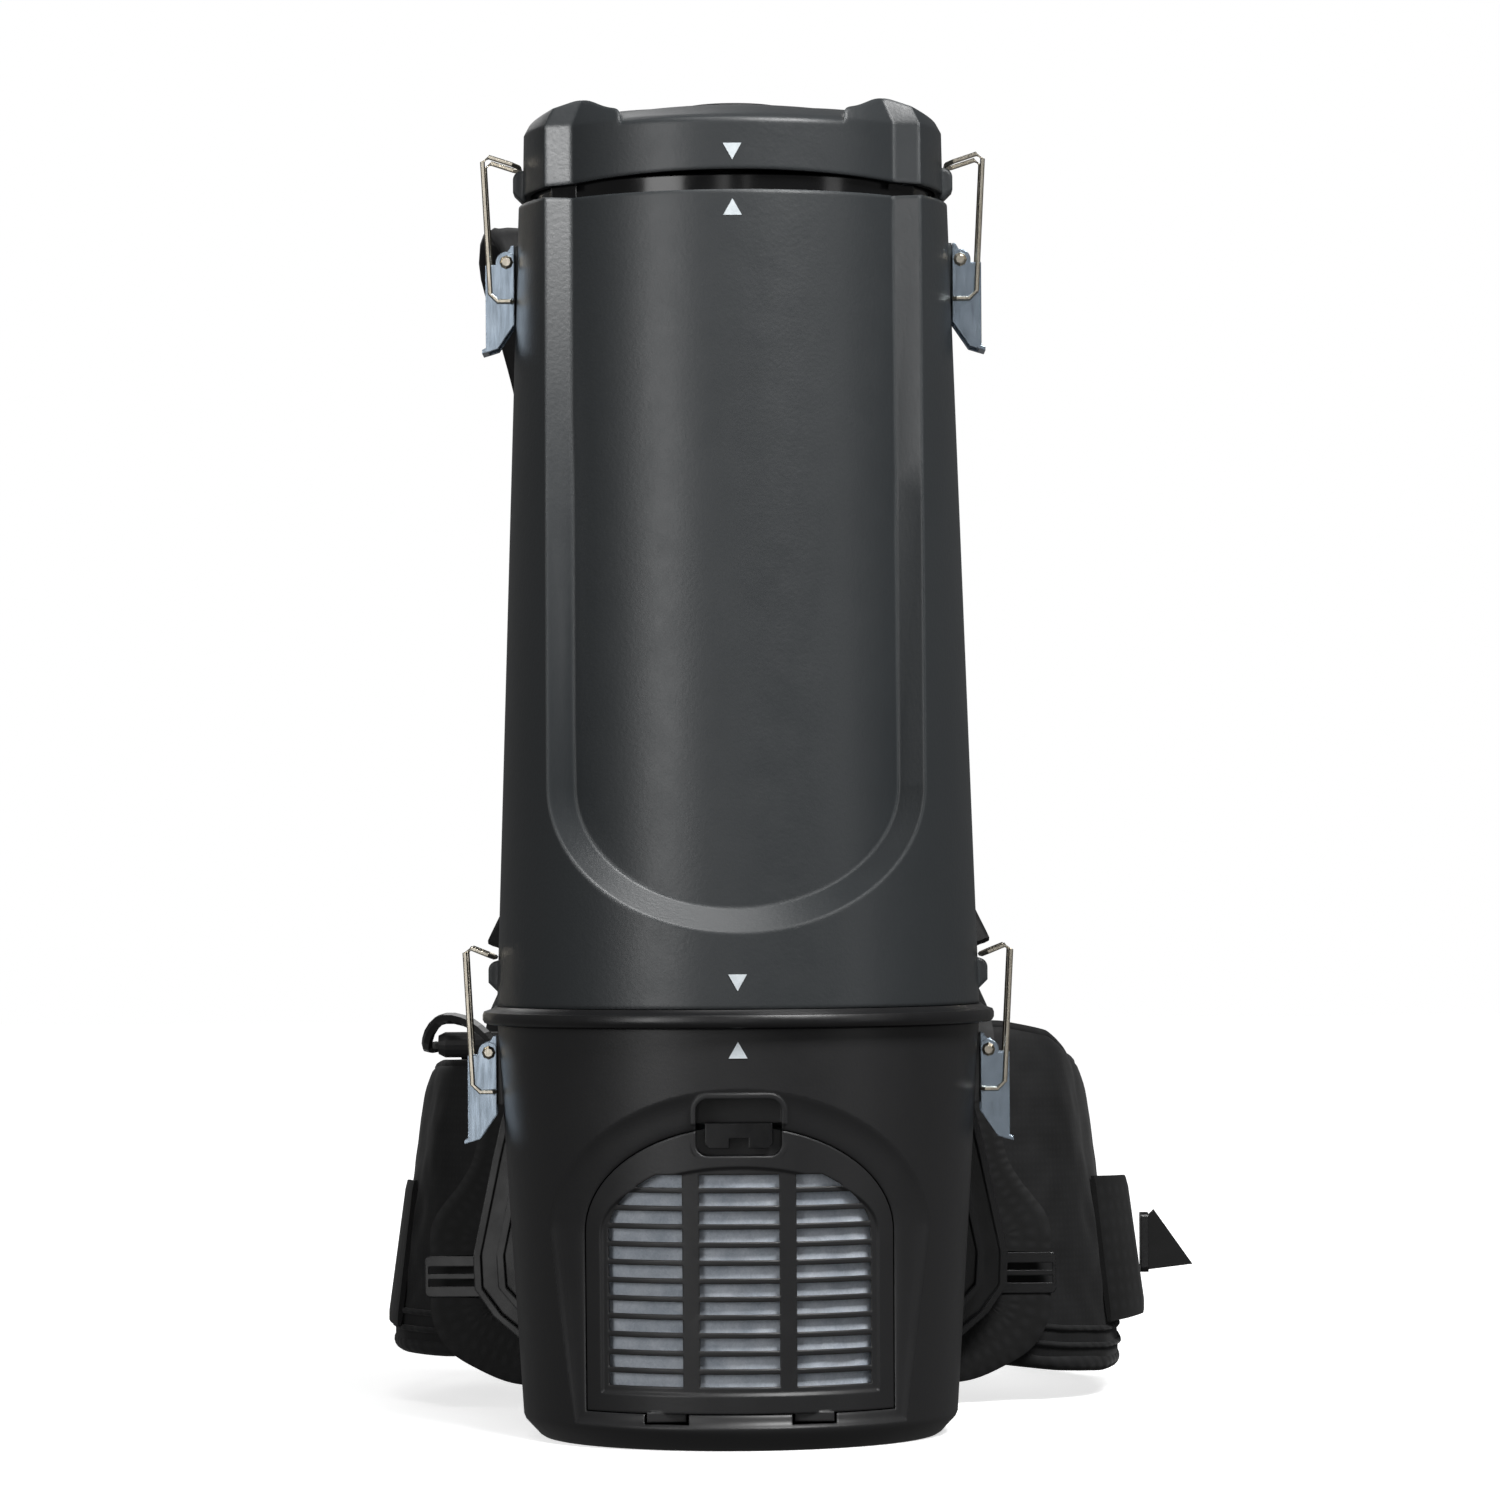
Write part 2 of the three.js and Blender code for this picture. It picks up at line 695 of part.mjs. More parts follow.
// What is cut away in front of the bowed panel, for the outer skin or, set in by the wall, for the inside
function panelCut(inset) {
  const [outerEnd, innerEnd] = flatEnds(chamberTopRadius, inset);
  const outer = archLine(outerEnd.x, archOuterFoot - inset, archSpring, chamberTop + overrun);
  const inner = archLine(innerEnd.x, archInnerFoot - inset, archSpring, chamberTop + overrun);
  const far = outer.map(([x, z]) => spot(x, -chamberLowRadius - overrun, z));
  const edge = outer.map(([x, z]) => spot(x, -Math.sqrt((chamberRadiusAt(z) - inset) ** 2 - x * x), z));
  const root = inner.map(([x, z], i) => {
    const seat = spot(x, panelFront(x, z, inset), z);
    return seat.add(seat.clone().sub(edge[i]).setLength(panelBite));
  });
  const bow = [archOuterFoot - overrun * 2, chamberTop + overrun * 2].map((z) =>
    Array.from({ length: facets }, (_, k) => {
      const angle = (k / facets) * Math.PI * 2;
      const r = panelRadius - inset;
      return spot(r * Math.cos(angle), panelBackAt(z) + r * Math.sin(angle), z);
    })
  );
  return solid(loft([far, edge, root])).subtract(solid(loft(bow)));
}

// Lug that a bail hooks over: a rounded shelf on the canister's side
function lug(wallX, topZ) {
  const shape = new THREE.Shape();
  shape.moveTo(wallX - lugRoot, topZ - lugHeight);
  shape.lineTo(wallX, topZ - lugHeight);
  shape.lineTo(wallX + lugProud, topZ - lugHeight + lugProud);
  shape.lineTo(wallX + lugProud, topZ - lugProud);
  shape.absarc(wallX, topZ - lugProud, lugProud, 0, Math.PI / 2);
  shape.lineTo(wallX - lugRoot, topZ);
  return slab('xz', shape, -lugHalf, lugHalf);
}
const lugTopAt = (rivetHeight) => rivetHeight + bailHookHeight - bailWire - bailSeatGap;

// Flat pad on the wall under a latch plate
function latchPad(rivetX, rivetZ) {
  const face = rivetX - plateBack - gap;
  return slab('xz', oblong(face - padDepth, rivetZ - plateFoot, face, rivetZ + plateHead),
    -plateHalf, plateHalf);
}

// Bag chamber
function bagChamber() {
  const outer = turned([[0, chamberFoot], [chamberLowRadius, chamberFoot], [chamberTopRadius, chamberTop],
    [0, chamberTop]], facets).subtract(panelCut(0));
  const low = chamberFoot - overrun;
  const high = chamberTop + overrun;
  const hollow = turned([[0, low], [chamberRadiusAt(low) - wall, low], [chamberRadiusAt(high) - wall, high],
    [0, high]], facets);
  const cavity = hollow.subtract(panelCut(wall));
  const [spigotLow, spigotHigh] = [chamberFoot - spigotDepth, chamberFoot + spigotStep];
  const spigot = turned([
    [spigotOuter - wall, spigotLow], [spigotOuter, spigotLow], [spigotOuter, chamberFoot],
    [chamberLowRadius - wall / 2, chamberFoot], [chamberLowRadius - wall / 2, spigotHigh],
    [spigotOuter - wall, spigotHigh], [spigotOuter - wall, spigotLow],
  ], facets);
  const lowerLugX = chamberRadiusAt(lugTopAt(lowerRivetHeight));
  const extras = [1, -1].flatMap((side) => [
    sided(side, lug(lowerLugX, lugTopAt(lowerRivetHeight))),
    sided(side, latchPad(upperRivetRadius, upperRivetHeight)),
  ]);
  const ledge = discOf(chamberRadiusAt(collarFoot), collarFoot - ledgeHeight, collarFoot, facets)
    .intersect(outer)
    .subtract(discOf(bagRadius + bagClearance, low, high, facets));
  const shelf = ringOf(chamberRadiusAt(shelfTop) - wall - shelfDepth, chamberRadiusAt(shelfTop) - wall / 2,
    shelfTop - shelfHeight, shelfTop, facets);
  return joined(outer.subtract(cavity), spigot, ledge, shelf, ...extras);
}

// Lid: domed centre between two raised shoulders, arched skirt in front, inlet hole in the middle
function lidShell() {
  const domeRings = domeInsetShares.map((share, i) => {
    const rise = mix(lidEdge, lidTop, domeRiseShares[i]);
    return planRing(rise, lidRadius - lidLean, 0, share);
  });
  const shell = loft([planRing(lidFoot, lidRadius), planRing(lidEdge, lidRadius - lidLean), ...domeRings]);
  const block = loft([planRing(lidFoot, lidRadius), planRing(lidEdge, lidRadius - lidLean),
    planRing(shoulderPeak + overrun, lidRadius - lidLean, 0, shoulderInsetShare)]);
  const ridgeInner = mix(lidEdge, lidTop, domeRiseShares[1]) - lidWall / 2;
  const ridge = outlineOf([[shoulderInner, lidFoot], [shoulderOuter + overrun, lidFoot],
    [shoulderOuter + overrun, shoulderSide - overrun / 2], [shoulderOuter, shoulderSide],
    [shoulderCrest, shoulderPeak], [shoulderInner, ridgeInner]]);
  const shoulders = [1, -1].map((side) => sided(side, slab('xz', ridge, -chamberLowRadius, chamberLowRadius))
    .intersect(solid(block)));
  const hollowRings = [1, domeInsetShares.length - 1].map((i) => {
    const rise = mix(lidEdge, lidTop, domeRiseShares[i]) - lidWall;
    return planRing(rise, lidRadius - lidLean, lidWall, domeInsetShares[i]);
  });
  const hollow = solid(loft([planRing(lidFoot - overrun, lidRadius, lidWall),
    planRing(lidEdge - lidWall, lidRadius - lidLean, lidWall), ...hollowRings]));
  const arch = new THREE.Shape();
  arch.moveTo(-skirtArchHalf, lidFoot - overrun);
  arch.lineTo(skirtArchHalf, lidFoot - overrun);
  arch.lineTo(skirtArchHalf, lidFoot);
  arch.quadraticCurveTo(0, lidFoot + 2 * skirtArch, -skirtArchHalf, lidFoot);
  const lugs = [1, -1].map((side) => sided(side, lug(lidRadius, lugTopAt(upperRivetHeight))));
  const whole = joined(solid(shell), ...shoulders);
  return joined(
    lessAll(whole, [hollow, slab('xz', arch, flatOuter / 2, chamberLowRadius),
      discOf(inletBore + inletWall + gap, lidEdge - overrun, lidTop + overrun, middleFacets)]),
    ...lugs
  );
}

// Seal that hangs from the lid into the chamber's mouth
function lidSeal() {
  const sleeve = (inset, spare) => solid(loft([-spare, sealHeight + spare].map((rise) =>
    planRing(chamberTop - sealInChamber + rise, lidRadius - lidLean, inset))));
  return sleeve(lidWall + 3 * gap, 0).subtract(sleeve(lidWall + 2 * gap + sealWall, overrun));
}

const inletTop = lidTop + inletProud;
const inletFoot = inletTop - inletDepth;
const inletFlangeTop = lidTop - lidWall - 4 * inletProud;
const inletOuter = inletBore + inletWall;
const inletFlangeFoot = inletFlangeTop - inletFlangeThickness;
const hoseInlet = () => turned([
  [inletBore, inletFoot], [inletOuter, inletFoot], [inletOuter, inletFlangeFoot],
  [inletFlange, inletFlangeFoot], [inletFlange, inletFlangeTop], [inletOuter, inletFlangeTop],
  [inletOuter, inletTop], [inletBore, inletTop], [inletBore, inletFoot],
], middleFacets);

// Ring between chamber and base, its top edge stepped in to the chamber
const jointRing = () => {
  const [low, high, inner] = [baseHeight + gap, chamberFoot - gap, spigotOuter + gap];
  return turned([
    [inner, low], [ringRadius - ringLip, low], [ringRadius, low + ringLip],
    [ringRadius, high - 2 * ringLip], [ringRadius - ringLip, high - ringLip],
    [chamberLowRadius + ringLip, high - ringLip / 2], [chamberLowRadius + ringLip / 2, high],
    [inner, high], [inner, low],
  ], facets);
};

const bagCollar = () => {
  const [low, high] = [collarFoot + gap, collarFoot + gap + collarThickness];
  const rim = loft([low, high].map((z) => planRing(z, chamberTopRadius, collarInset)));
  return solid(rim).subtract(discOf(collarBore, low - overrun, high + overrun, middleFacets));
};

const filterBag = () => {
  const high = collarFoot;
  const middle = mix(bagFoot, high, 0.5);
  return turned([
    [0, bagFoot], [bagRadius - bagTaper, bagFoot + bagBow], [bagRadius + bagBow - bagWall, middle],
    [bagRadius, high], [bagRadius - bagWall, high], [bagRadius + bagBow - 2 * bagWall, middle],
    [bagRadius - bagTaper - bagWall, bagFoot + bagBow + bagWall], [0, bagFoot + bagWall],
  ], middleFacets);
};

// Spoked disc that keeps the bag off the motor filter
function supportGrid() {
  const low = gridFoot;
  const outer = chamberRadiusAt(low) - wall - filterClearance;
  const rings = Array.from({ length: gridRings + 1 }, (_, i) => {
    const r = (outer * (i + 1)) / (gridRings + 1);
    return ringOf(r - gridRib, r, low, low + gridThickness, smallFacets);
  });
  const reach = outer - gridRib / 2;
  const spokes = Array.from({ length: gridSpokes / 2 }, (_, i) => {
    const spoke = slab('xy', oblong(-reach, -gridRib / 2, reach, gridRib / 2), low, low + gridThickness);
    return moved(spoke, new THREE.Matrix4().makeRotationZ((i * 2 * Math.PI) / gridSpokes));
  });
  return joined(...rings, ...spokes);
}

const motorFilter = () => {
  const [low, high] = [shelfTop + gap, shelfTop + gap + padFilterThickness];
  return discOf(chamberRadiusAt(shelfTop) - wall - filterClearance, low, high, middleFacets);
};

// Exhaust door outline, grown or shrunk by a margin, as [x, z] pairs round its arch
function doorArch(margin, footMargin = margin, footDrop = margin) {
  const half = doorHalf + margin;
  const line = [[-doorHalf - footMargin, doorFoot - footDrop]];
  for (let i = 0; i <= archSteps; i++) {
    const angle = Math.PI * (1 - i / archSteps);
    line.push([half * Math.cos(angle), doorSpring + (doorTop - doorSpring + margin) * Math.sin(angle)]);
  }
  line.push([doorHalf + footMargin, doorFoot - footDrop]);
  return line;
}

const wellOutline = (margin) => roundOblong(-wellHalf + margin, wellFoot + margin, wellHalf - margin,
  wellTop - margin, wellCorner - margin);

// Soft dish round the door, deepest at the door's edge
function doorDish() {
  const outer = doorArch(dishMargin, dishFootMargin);
  const inner = doorArch(0, 0);
  const far = outer.map(([x, z]) => spot(x, -baseTopRadius - overrun, z));
  const edge = outer.map(([x, z]) => spot(x, -Math.sqrt(baseRadiusAt(z) ** 2 - x * x), z));
  const root = inner.map(([x, z]) => spot(x, -Math.sqrt((baseRadiusAt(z) - doorSetBack) ** 2 - x * x), z));
  return solid(loft([far, edge, root]));
}

const hingeY = -baseRadiusAt(doorFoot) + doorSetBack - hingeForward;
const wellBack = -baseRadiusAt(wellFoot) + doorSetBack + wellDepth;
const bossY = (z) => Math.sqrt(baseRadiusAt(z) ** 2 - bossX * bossX);

// Base housing: a bucket with the doorway, the finger well and bosses for what it carries
function baseHousing() {
  const outer = turned([[0, 0], [footRadius, 0], [baseLowRadius, footHeight], [baseTopRadius, baseHeight],
    [0, baseHeight]], facets);
  const over = baseHeight + overrun;
  const inner = turned([[0, floorThickness], [footRadius - wall, floorThickness],
    [baseLowRadius - wall, footHeight + wall],
    [baseRadiusAt(over) - wall, over], [0, over]], facets);
  const deckTop = baseHeight - deckBelowRim - gap - deckThickness;
  const ledge = ringOf(baseRadiusAt(deckTop) - wall - deckLedge, baseRadiusAt(deckTop) - wall / 2,
    deckTop - gap - ledgeHeight, deckTop - gap, facets);
  const overDoor = oblong(-baseTopRadius, doorTop + doorClearance, baseTopRadius, baseHeight);
  const wellRing = slab('xz', wellOutline(-wellFloor), -baseTopRadius, wellBack + wellFloor)
    .intersect(outer)
    .intersect(slab('xz', overDoor, -baseTopRadius, baseTopRadius));
  const well = slab('xz', wellOutline(0), -baseTopRadius - overrun, wellBack);
  const doorway = slab('xz', outlineOf(doorArch(0, 0, 0)), -baseTopRadius - overrun, -doorwayReach);
  const slits = [1, -1].map((side) => {
    const [middle, half] = [side * tabOffset, tabWidth / 2 + tabSlack];
    const shape = oblong(middle - half, doorFoot - tabDrop - tabSlack, middle + half, doorFoot + tabSlack);
    return slab('xz', shape, hingeY - overrun / 2, -doorwayReach);
  });
  const pads = [1, -1].map((side) => sided(side, latchPad(lowerRivetRadius, lowerRivetHeight)));
  const shell = lessAll(outer, [inner, doorDish()]);
  return lessAll(joined(shell, ledge, wellRing, ...pads), [well, doorway, ...slits,
    wallHole(leadBore, glandAngle, glandHeight), wallHole(socketBore, socketAngle, socketHeight)]);
}

// Place on the base's wall at an angle and a height, its third axis pointing out
function wallFrame(angle, height, reach) {
  const turn = THREE.MathUtils.degToRad(angle);
  const out = spot(Math.cos(turn), Math.sin(turn), 0);
  return turnedTo(spot(0, 0, 1).cross(out), spot(0, 0, 1), out,
    out.clone().multiplyScalar(reach).setZ(height));
}
function wallHole(radius, angle, height) {
  const place = wallFrame(angle, height, baseRadiusAt(height) - overrun);
  return moved(discOf(radius, 0, overrun * 2, smallFacets), place);
}

// Curved plate that follows the base's front between two depths
function frontShell(setBack, thickness) {
  const high = doorTop + overrun * 2;
  const outer = turned([[0, 0], [baseRadiusAt(0) - setBack, 0], [baseRadiusAt(high) - setBack, high],
    [0, high]], facets);
  const inner = turned([[0, -overrun], [baseRadiusAt(-overrun) - setBack - thickness, -overrun],
    [baseRadiusAt(high + overrun) - setBack - thickness, high + overrun], [0, high + overrun]], facets);
  const front = slab('xz', oblong(-baseTopRadius, 0, baseTopRadius, high), -baseTopRadius, -doorwayReach);
  return outer.subtract(inner).intersect(front);
}

// Louvred exhaust door: three columns of slots whose outer ends follow the arch
function filterDoor() {
  const leaf = frontShell(doorSetBack, doorThickness)
    .intersect(slab('xz', outlineOf(doorArch(-doorClearance)), -baseTopRadius, 0));
  const field = [[-slotHalf, doorFoot]];
  for (let i = 0; i <= fieldSteps; i++) {
    const angle = Math.PI * (1 - i / fieldSteps);
    field.push([slotHalf * Math.cos(angle), doorSpring + (slotTop - doorSpring) * Math.sin(angle)]);
  }
  field.push([slotHalf, doorFoot]);
  const columns = [[-slotHalf, -centreSlotHalf - slotColumnRib], [-centreSlotHalf, centreSlotHalf],
    [centreSlotHalf + slotColumnRib, slotHalf]];
  const slots = [];
  for (let row = 0; row < slotRows; row++) {
    const top = slotFirstTop - row * slotPitch;
    for (const [x0, x1] of columns) {
      slots.push(slab('xz', oblong(x0, top - slotHeight, x1, top), -baseTopRadius, 0));
    }
  }
  const grille = joined(...slots).intersect(slab('xz', outlineOf(field), -baseTopRadius, 0));
  const well = slab('xz', wellOutline(0), -baseTopRadius - overrun, 0);
  const shelfFront = wellBack - wellDepth + doorThickness / 2;
  const shelf = slab('xz', wellOutline(-wellFloor), shelfFront, wellBack + wellFloor)
    .intersect(slab('xz', outlineOf(doorArch(-doorClearance)), -baseTopRadius, 0));
  const pocket = slab('xz', wellOutline(0), -baseTopRadius - overrun, wellBack);
  const tabFace = -Math.sqrt((baseRadiusAt(doorFoot) - doorSetBack) ** 2 - tabOffset * tabOffset);
  const tabFront = tabFace + doorThickness / 2 - tabThickness / 2;
  const tabs = [1, -1].map((side) => {
    const [x0, x1] = [-1, 1].map((end) => side * tabOffset + (end * tabWidth) / 2);
    const shape = oblong(x0, doorFoot - tabDrop, x1, doorFoot + 2 * doorClearance);
    return slab('xz', shape, tabFront, tabFront + tabThickness);
  });
  return joined(lessAll(leaf, [grille, well]), shelf.subtract(pocket), ...tabs);
}

const doorInner = wellBack - wellDepth;

// Catch: a finger tab with a notch below and a nose that stands up behind the well
function doorCatch() {
  const [chamfer, notchTop] = [catchThickness / 2, catchFoot + catchNotchHeight];
  const half = [[catchNotchHalf, notchTop], [catchNotchHalf, catchFoot], [catchHalf - chamfer, catchFoot],
    [catchHalf, catchFoot + chamfer], [catchHalf, catchTop]];
  const face = outlineOf([...half, ...half.slice().reverse().map(([x, z]) => [-x, z])]);
  const tab = slab('xz', face, doorInner + chamfer, doorInner + chamfer + catchThickness);
  const stem = slab('xz', oblong(-catchStemHalf, notchTop, catchStemHalf, doorTop - 2 * doorClearance),
    doorInner + catchThickness, wellBack - gap);
  return joined(tab, stem);
}

const exhaustFilter = () => frontShell(doorSetBack + doorThickness + gap, exhaustFilterThickness)
  .intersect(slab('xz', outlineOf(doorArch(-exhaustFilterMargin)), -baseTopRadius, 0))
  .subtract(slab('xz', wellOutline(-wellFloor - gap), -baseTopRadius, 0));

// Motor and fan
const deckLow = baseHeight - deckBelowRim - deckThickness;
const canTop = deckLow - 2 * gap - sealRingHeight;
const canFoot = canTop - canHeight;
const motorAt = new THREE.Matrix4().makeTranslation(0, motorBack, 0);

function motorDeck() {
  const outer = baseRadiusAt(deckLow) - wall - gap;
  const plate = discOf(outer, deckLow, deckLow + deckThickness, facets);
  const hole = discOf(deckHole, deckLow - overrun, baseHeight, middleFacets);
  const rib = slab('xy', oblong(-deckHole - deckRib, -deckRib / 2, deckHole + deckRib, deckRib / 2),
    deckLow, deckLow + deckThickness);
  const cross = moved(rib, new THREE.Matrix4().makeRotationZ(Math.PI / 2));
  return joined(plate.subtract(moved(hole, motorAt)), moved(rib, motorAt), moved(cross, motorAt));
}

const motorSeal = () => {
  const low = canTop + gap;
  return moved(ringOf(deckHole + deckRib, sealRingRadius, low, low + sealRingHeight, smallFacets), motorAt);
};

function fanShell() {
  const hole = shaftRadius + 3 * shaftHoleClearance;
  const can = turned([
    [canEye, canTop], [canEye, canTop - canWall], [canRadius - canWall, canTop - canWall],
    [canRadius - canWall, canFoot + canWall], [hole, canFoot + canWall], [hole, canFoot],
    [canRadius, canFoot], [canRadius, canTop], [canEye, canTop],
  ], smallFacets);
  const port = slab('xy', oblong(fieldBore, -portHalf, canRadius - 4 * canWall, portHalf),
    canFoot - overrun, canFoot + canWall * 2);
  const ports = [0, 1, 2].map((i) => moved(port, new THREE.Matrix4().makeRotationZ((i * 2 * Math.PI) / 3)));
  return moved(lessAll(can, ports), motorAt);
}

const fanLow = canFoot + canWall + (canHeight - 2 * canWall - fanBladeHeight - 2 * fanDisc) / 2;
const fanHubRadius = shaftRadius * 2;

// Fan with backward-curved blades between two discs
function impeller() {
  const top = fanLow + fanDisc + fanBladeHeight;
  const back = ringOf(shaftRadius + gap, fanRadius, fanLow, fanLow + fanDisc, smallFacets);
  const front = ringOf(canEye, fanRadius, top, top + fanDisc, smallFacets);
  const hub = ringOf(shaftRadius + gap, fanHubRadius, fanLow, top, smallFacets);
  const bladeShape = new THREE.Shape();
  const sweep = (t, offset) => {
    const r = mix(canEye, fanRadius - fanDisc, t) + offset;
    const angle = -t * bladeSweep;
    return [r * Math.cos(angle), r * Math.sin(angle)];
  };
  const bladeSteps = 3;
  for (let i = 0; i <= bladeSteps; i++) {
    const [x, y] = sweep(i / bladeSteps, 0);
    if (i === 0) bladeShape.moveTo(x, y);
    else bladeShape.lineTo(x, y);
  }
  for (let i = bladeSteps; i >= 0; i--) bladeShape.lineTo(...sweep(i / bladeSteps, -fanBladeThickness));
  const blade = slab('xy', bladeShape, fanLow + fanDisc / 2, top + fanDisc / 2);
  const blades = Array.from({ length: fanBlades }, (_, i) =>
    moved(blade, new THREE.Matrix4().makeRotationZ((i * 2 * Math.PI) / fanBlades)));
  return moved(joined(back, hub, ...blades, front), motorAt);
}

const bootFoot = floorThickness + gap;
const cupFoot = bootFoot + bootWall + gap;
const motorRoom = canFoot - cupFoot;
const bearingCupHeight = motorRoom * cupShare;
const bootHeight = bearingCupHeight + bootWall;
const commutatorHeight = motorRoom * commutatorShare;
const fieldHeight = motorRoom * fieldShare;
const fieldLow = cupFoot + bearingCupHeight + motorRoom * bracketShare + commutatorHeight;
const armatureLow = fieldLow - armatureProud;
const armatureHeight = fieldHeight + 2 * armatureProud;

function armature() {
  const shaftFoot = cupFoot + bracketThickness + gap;
  const shaftTop = fanLow + fanDisc + fanBladeHeight;
  const commutatorTop = armatureLow - shaftRadius;
  const commutatorLow = commutatorTop - commutatorHeight;
  const armatureTop = armatureLow + armatureHeight;
  return moved(turned([
    [0, shaftFoot], [shaftRadius, shaftFoot], [shaftRadius, commutatorLow],
    [commutatorRadius, commutatorLow], [commutatorRadius, commutatorTop], [shaftRadius, commutatorTop],
    [shaftRadius, armatureLow], [armatureRadius, armatureLow], [armatureRadius, armatureTop],
    [shaftRadius, armatureTop], [shaftRadius, shaftTop], [0, shaftTop],
  ], smallFacets), motorAt);
}

// Field frame with the bracket and bearing cup that hold the shaft's lower end
function fieldFrame() {
  const fieldTop = fieldLow + fieldHeight;
  const [halfWidth, halfDepth, halfStrap] = [fieldWidth / 2, fieldDepth / 2, bracketWidth / 2];
  const block = slab('xy', roundOblong(-halfWidth, -halfDepth, halfWidth, halfDepth, halfStrap),
    fieldLow, fieldTop)
    .subtract(discOf(fieldBore + shaftHoleClearance, fieldLow - overrun, fieldTop + overrun, middleFacets));
  const strapLow = cupFoot + bearingCupHeight - bracketThickness;
  const legOuter = halfWidth - bracketThickness;
  const leg = slab('xy', oblong(legOuter - bracketThickness, -halfStrap, legOuter, halfStrap),
    strapLow, canFoot - gap);
  const legs = [1, -1].map((side) => sided(side, leg));
  const strap = slab('xy', oblong(-legOuter, -halfStrap, legOuter, halfStrap),
    strapLow, strapLow + bracketThickness);
  const cup = discOf(bearingCup, cupFoot, cupFoot + bearingCupHeight, smallFacets);
  const boreFoot = cupFoot + bracketThickness;
  const bore = discOf(shaftRadius + shaftHoleClearance, boreFoot, fieldLow + overrun, pinFacets);
  const body = joined(block, ...legs, joined(strap, cup).subtract(bore));
  return moved(body, motorAt);
}

function motorBoot() {
  const [seat, top] = [bootFoot + bootWall, bootFoot + bootHeight - bootWall];
  return moved(turned([
    [0, bootFoot], [bootRadius, bootFoot], [bootRadius, top], [bearingCup + gap, top],
    [bearingCup + gap, seat], [0, seat],
  ], smallFacets), motorAt);
}

// Latches: plate with two ears, rivet, channel lever and wire bail, drawn for the right side
const leverHalf = plateHalf + gap + sheet;
const bailHalf = leverHalf + gap + bailWire;
function crossHole(x, z, radius) {
  return slab('xz', disc(x, z, radius), -bailHalf - overrun, bailHalf + overrun);
}
function latchPlate(x, z) {
  const back = x - plateBack;
  const shape = new THREE.Shape();
  shape.moveTo(back, z - plateFoot);
  shape.lineTo(back + sheet, z - plateFoot);
  shape.lineTo(back + sheet, z - 2 * earRadius);
  shape.absarc(x, z, earRadius - sheet / 2, -Math.PI / 3, Math.PI / 2);
  shape.lineTo(back + sheet, z + plateHead);
  shape.lineTo(back, z + plateHead);
  const inside = oblong(back + sheet, z - plateFoot - overrun, x + overrun, z + plateHead + overrun);
  const between = slab('xz', inside, -plateHalf + sheet, plateHalf - sheet);
  return lessAll(slab('xz', shape, -plateHalf, plateHalf), [between, crossHole(x, z, rivetRadius + gap / 2)]);
}
function latchLever(x, z) {
  const shape = new THREE.Shape();
  const wallX = x - leverWallSide;
  shape.moveTo(wallX, z - leverHeel);
  shape.lineTo(x + leverTipBack, z - leverTip + sheet);
  shape.lineTo(x + leverFace - sheet, z - leverTip);
  shape.lineTo(x + leverFace + leverLip, z - leverTip - leverLip / 2);
  shape.lineTo(x + leverFace + leverLip, z - leverTip + leverLip / 2);
  shape.lineTo(x + leverFace, z - leverTip + leverLip);
  shape.lineTo(x + leverFace, z - sheet);
  shape.lineTo(x + earRadius, z - sheet);
  shape.absarc(x, z, earRadius, 0, leverHeelTurn);
  shape.lineTo(wallX, z);
  const channel = slab('xz',
    oblong(x - 2 * overrun, z - leverTip - overrun, x + leverFace - sheet, z + earRadius + overrun),
    -plateHalf - gap, plateHalf + gap);
  return lessAll(slab('xz', shape, -leverHalf, leverHalf), [channel, crossHole(x, z, rivetRadius + gap),
    crossHole(x - bailPivotIn, z - bailPivotDown, bailWire + pinHoleClearance)]);
}
function latchRivet(x, z) {
  const seat = leverHalf + gap;
  const crown = seat + rivetHeadHeight;
  const crownRadius = rivetHeadRadius * rivetDomeShare;
  return moved(turned([
    [0, -crown], [crownRadius, -crown], [rivetHeadRadius, -seat], [rivetRadius, -seat],
    [rivetRadius, seat], [rivetHeadRadius, seat], [crownRadius, crown], [0, crown],
  ], pinFacets), alongY(spot(x, 0, z)));
}
function latchBail(x, z, hookX) {
  const side = (y) => [
    spot(x - bailPivotIn, Math.sign(y) * (plateHalf + gap), z - bailPivotDown),
    spot(x - bailPivotIn, y, z - bailPivotDown),
    spot(x + bailElbow, y, z - bailPivotDown),
    spot(x + bailCorner, y, z + bailCornerHeight),
    spot(hookX, y, z + bailHookHeight),
  ];
  const path = rounded([...side(-bailHalf), ...side(bailHalf).reverse()], bailBend, bailSteps);
  return solid(wire(path, bailWire, wireSides));
}
function addLatch(level, x, z, wallX) {
  for (const [side, hand] of [[1, 'right'], [-1, 'left']]) {
    add(`${level}_latch_plate_${hand}`, sided(side, latchPlate(x, z)), finishes.zinc);
    add(`${level}_latch_rivet_${hand}`, sided(side, latchRivet(x, z)), finishes.nickel);
    add(`${level}_latch_lever_${hand}`, sided(side, latchLever(x, z)), finishes.zinc);
    add(`${level}_latch_bail_${hand}`, sided(side, latchBail(x, z, wallX + bailWallGap + bailWire)),
      finishes.nickel);
  }
}

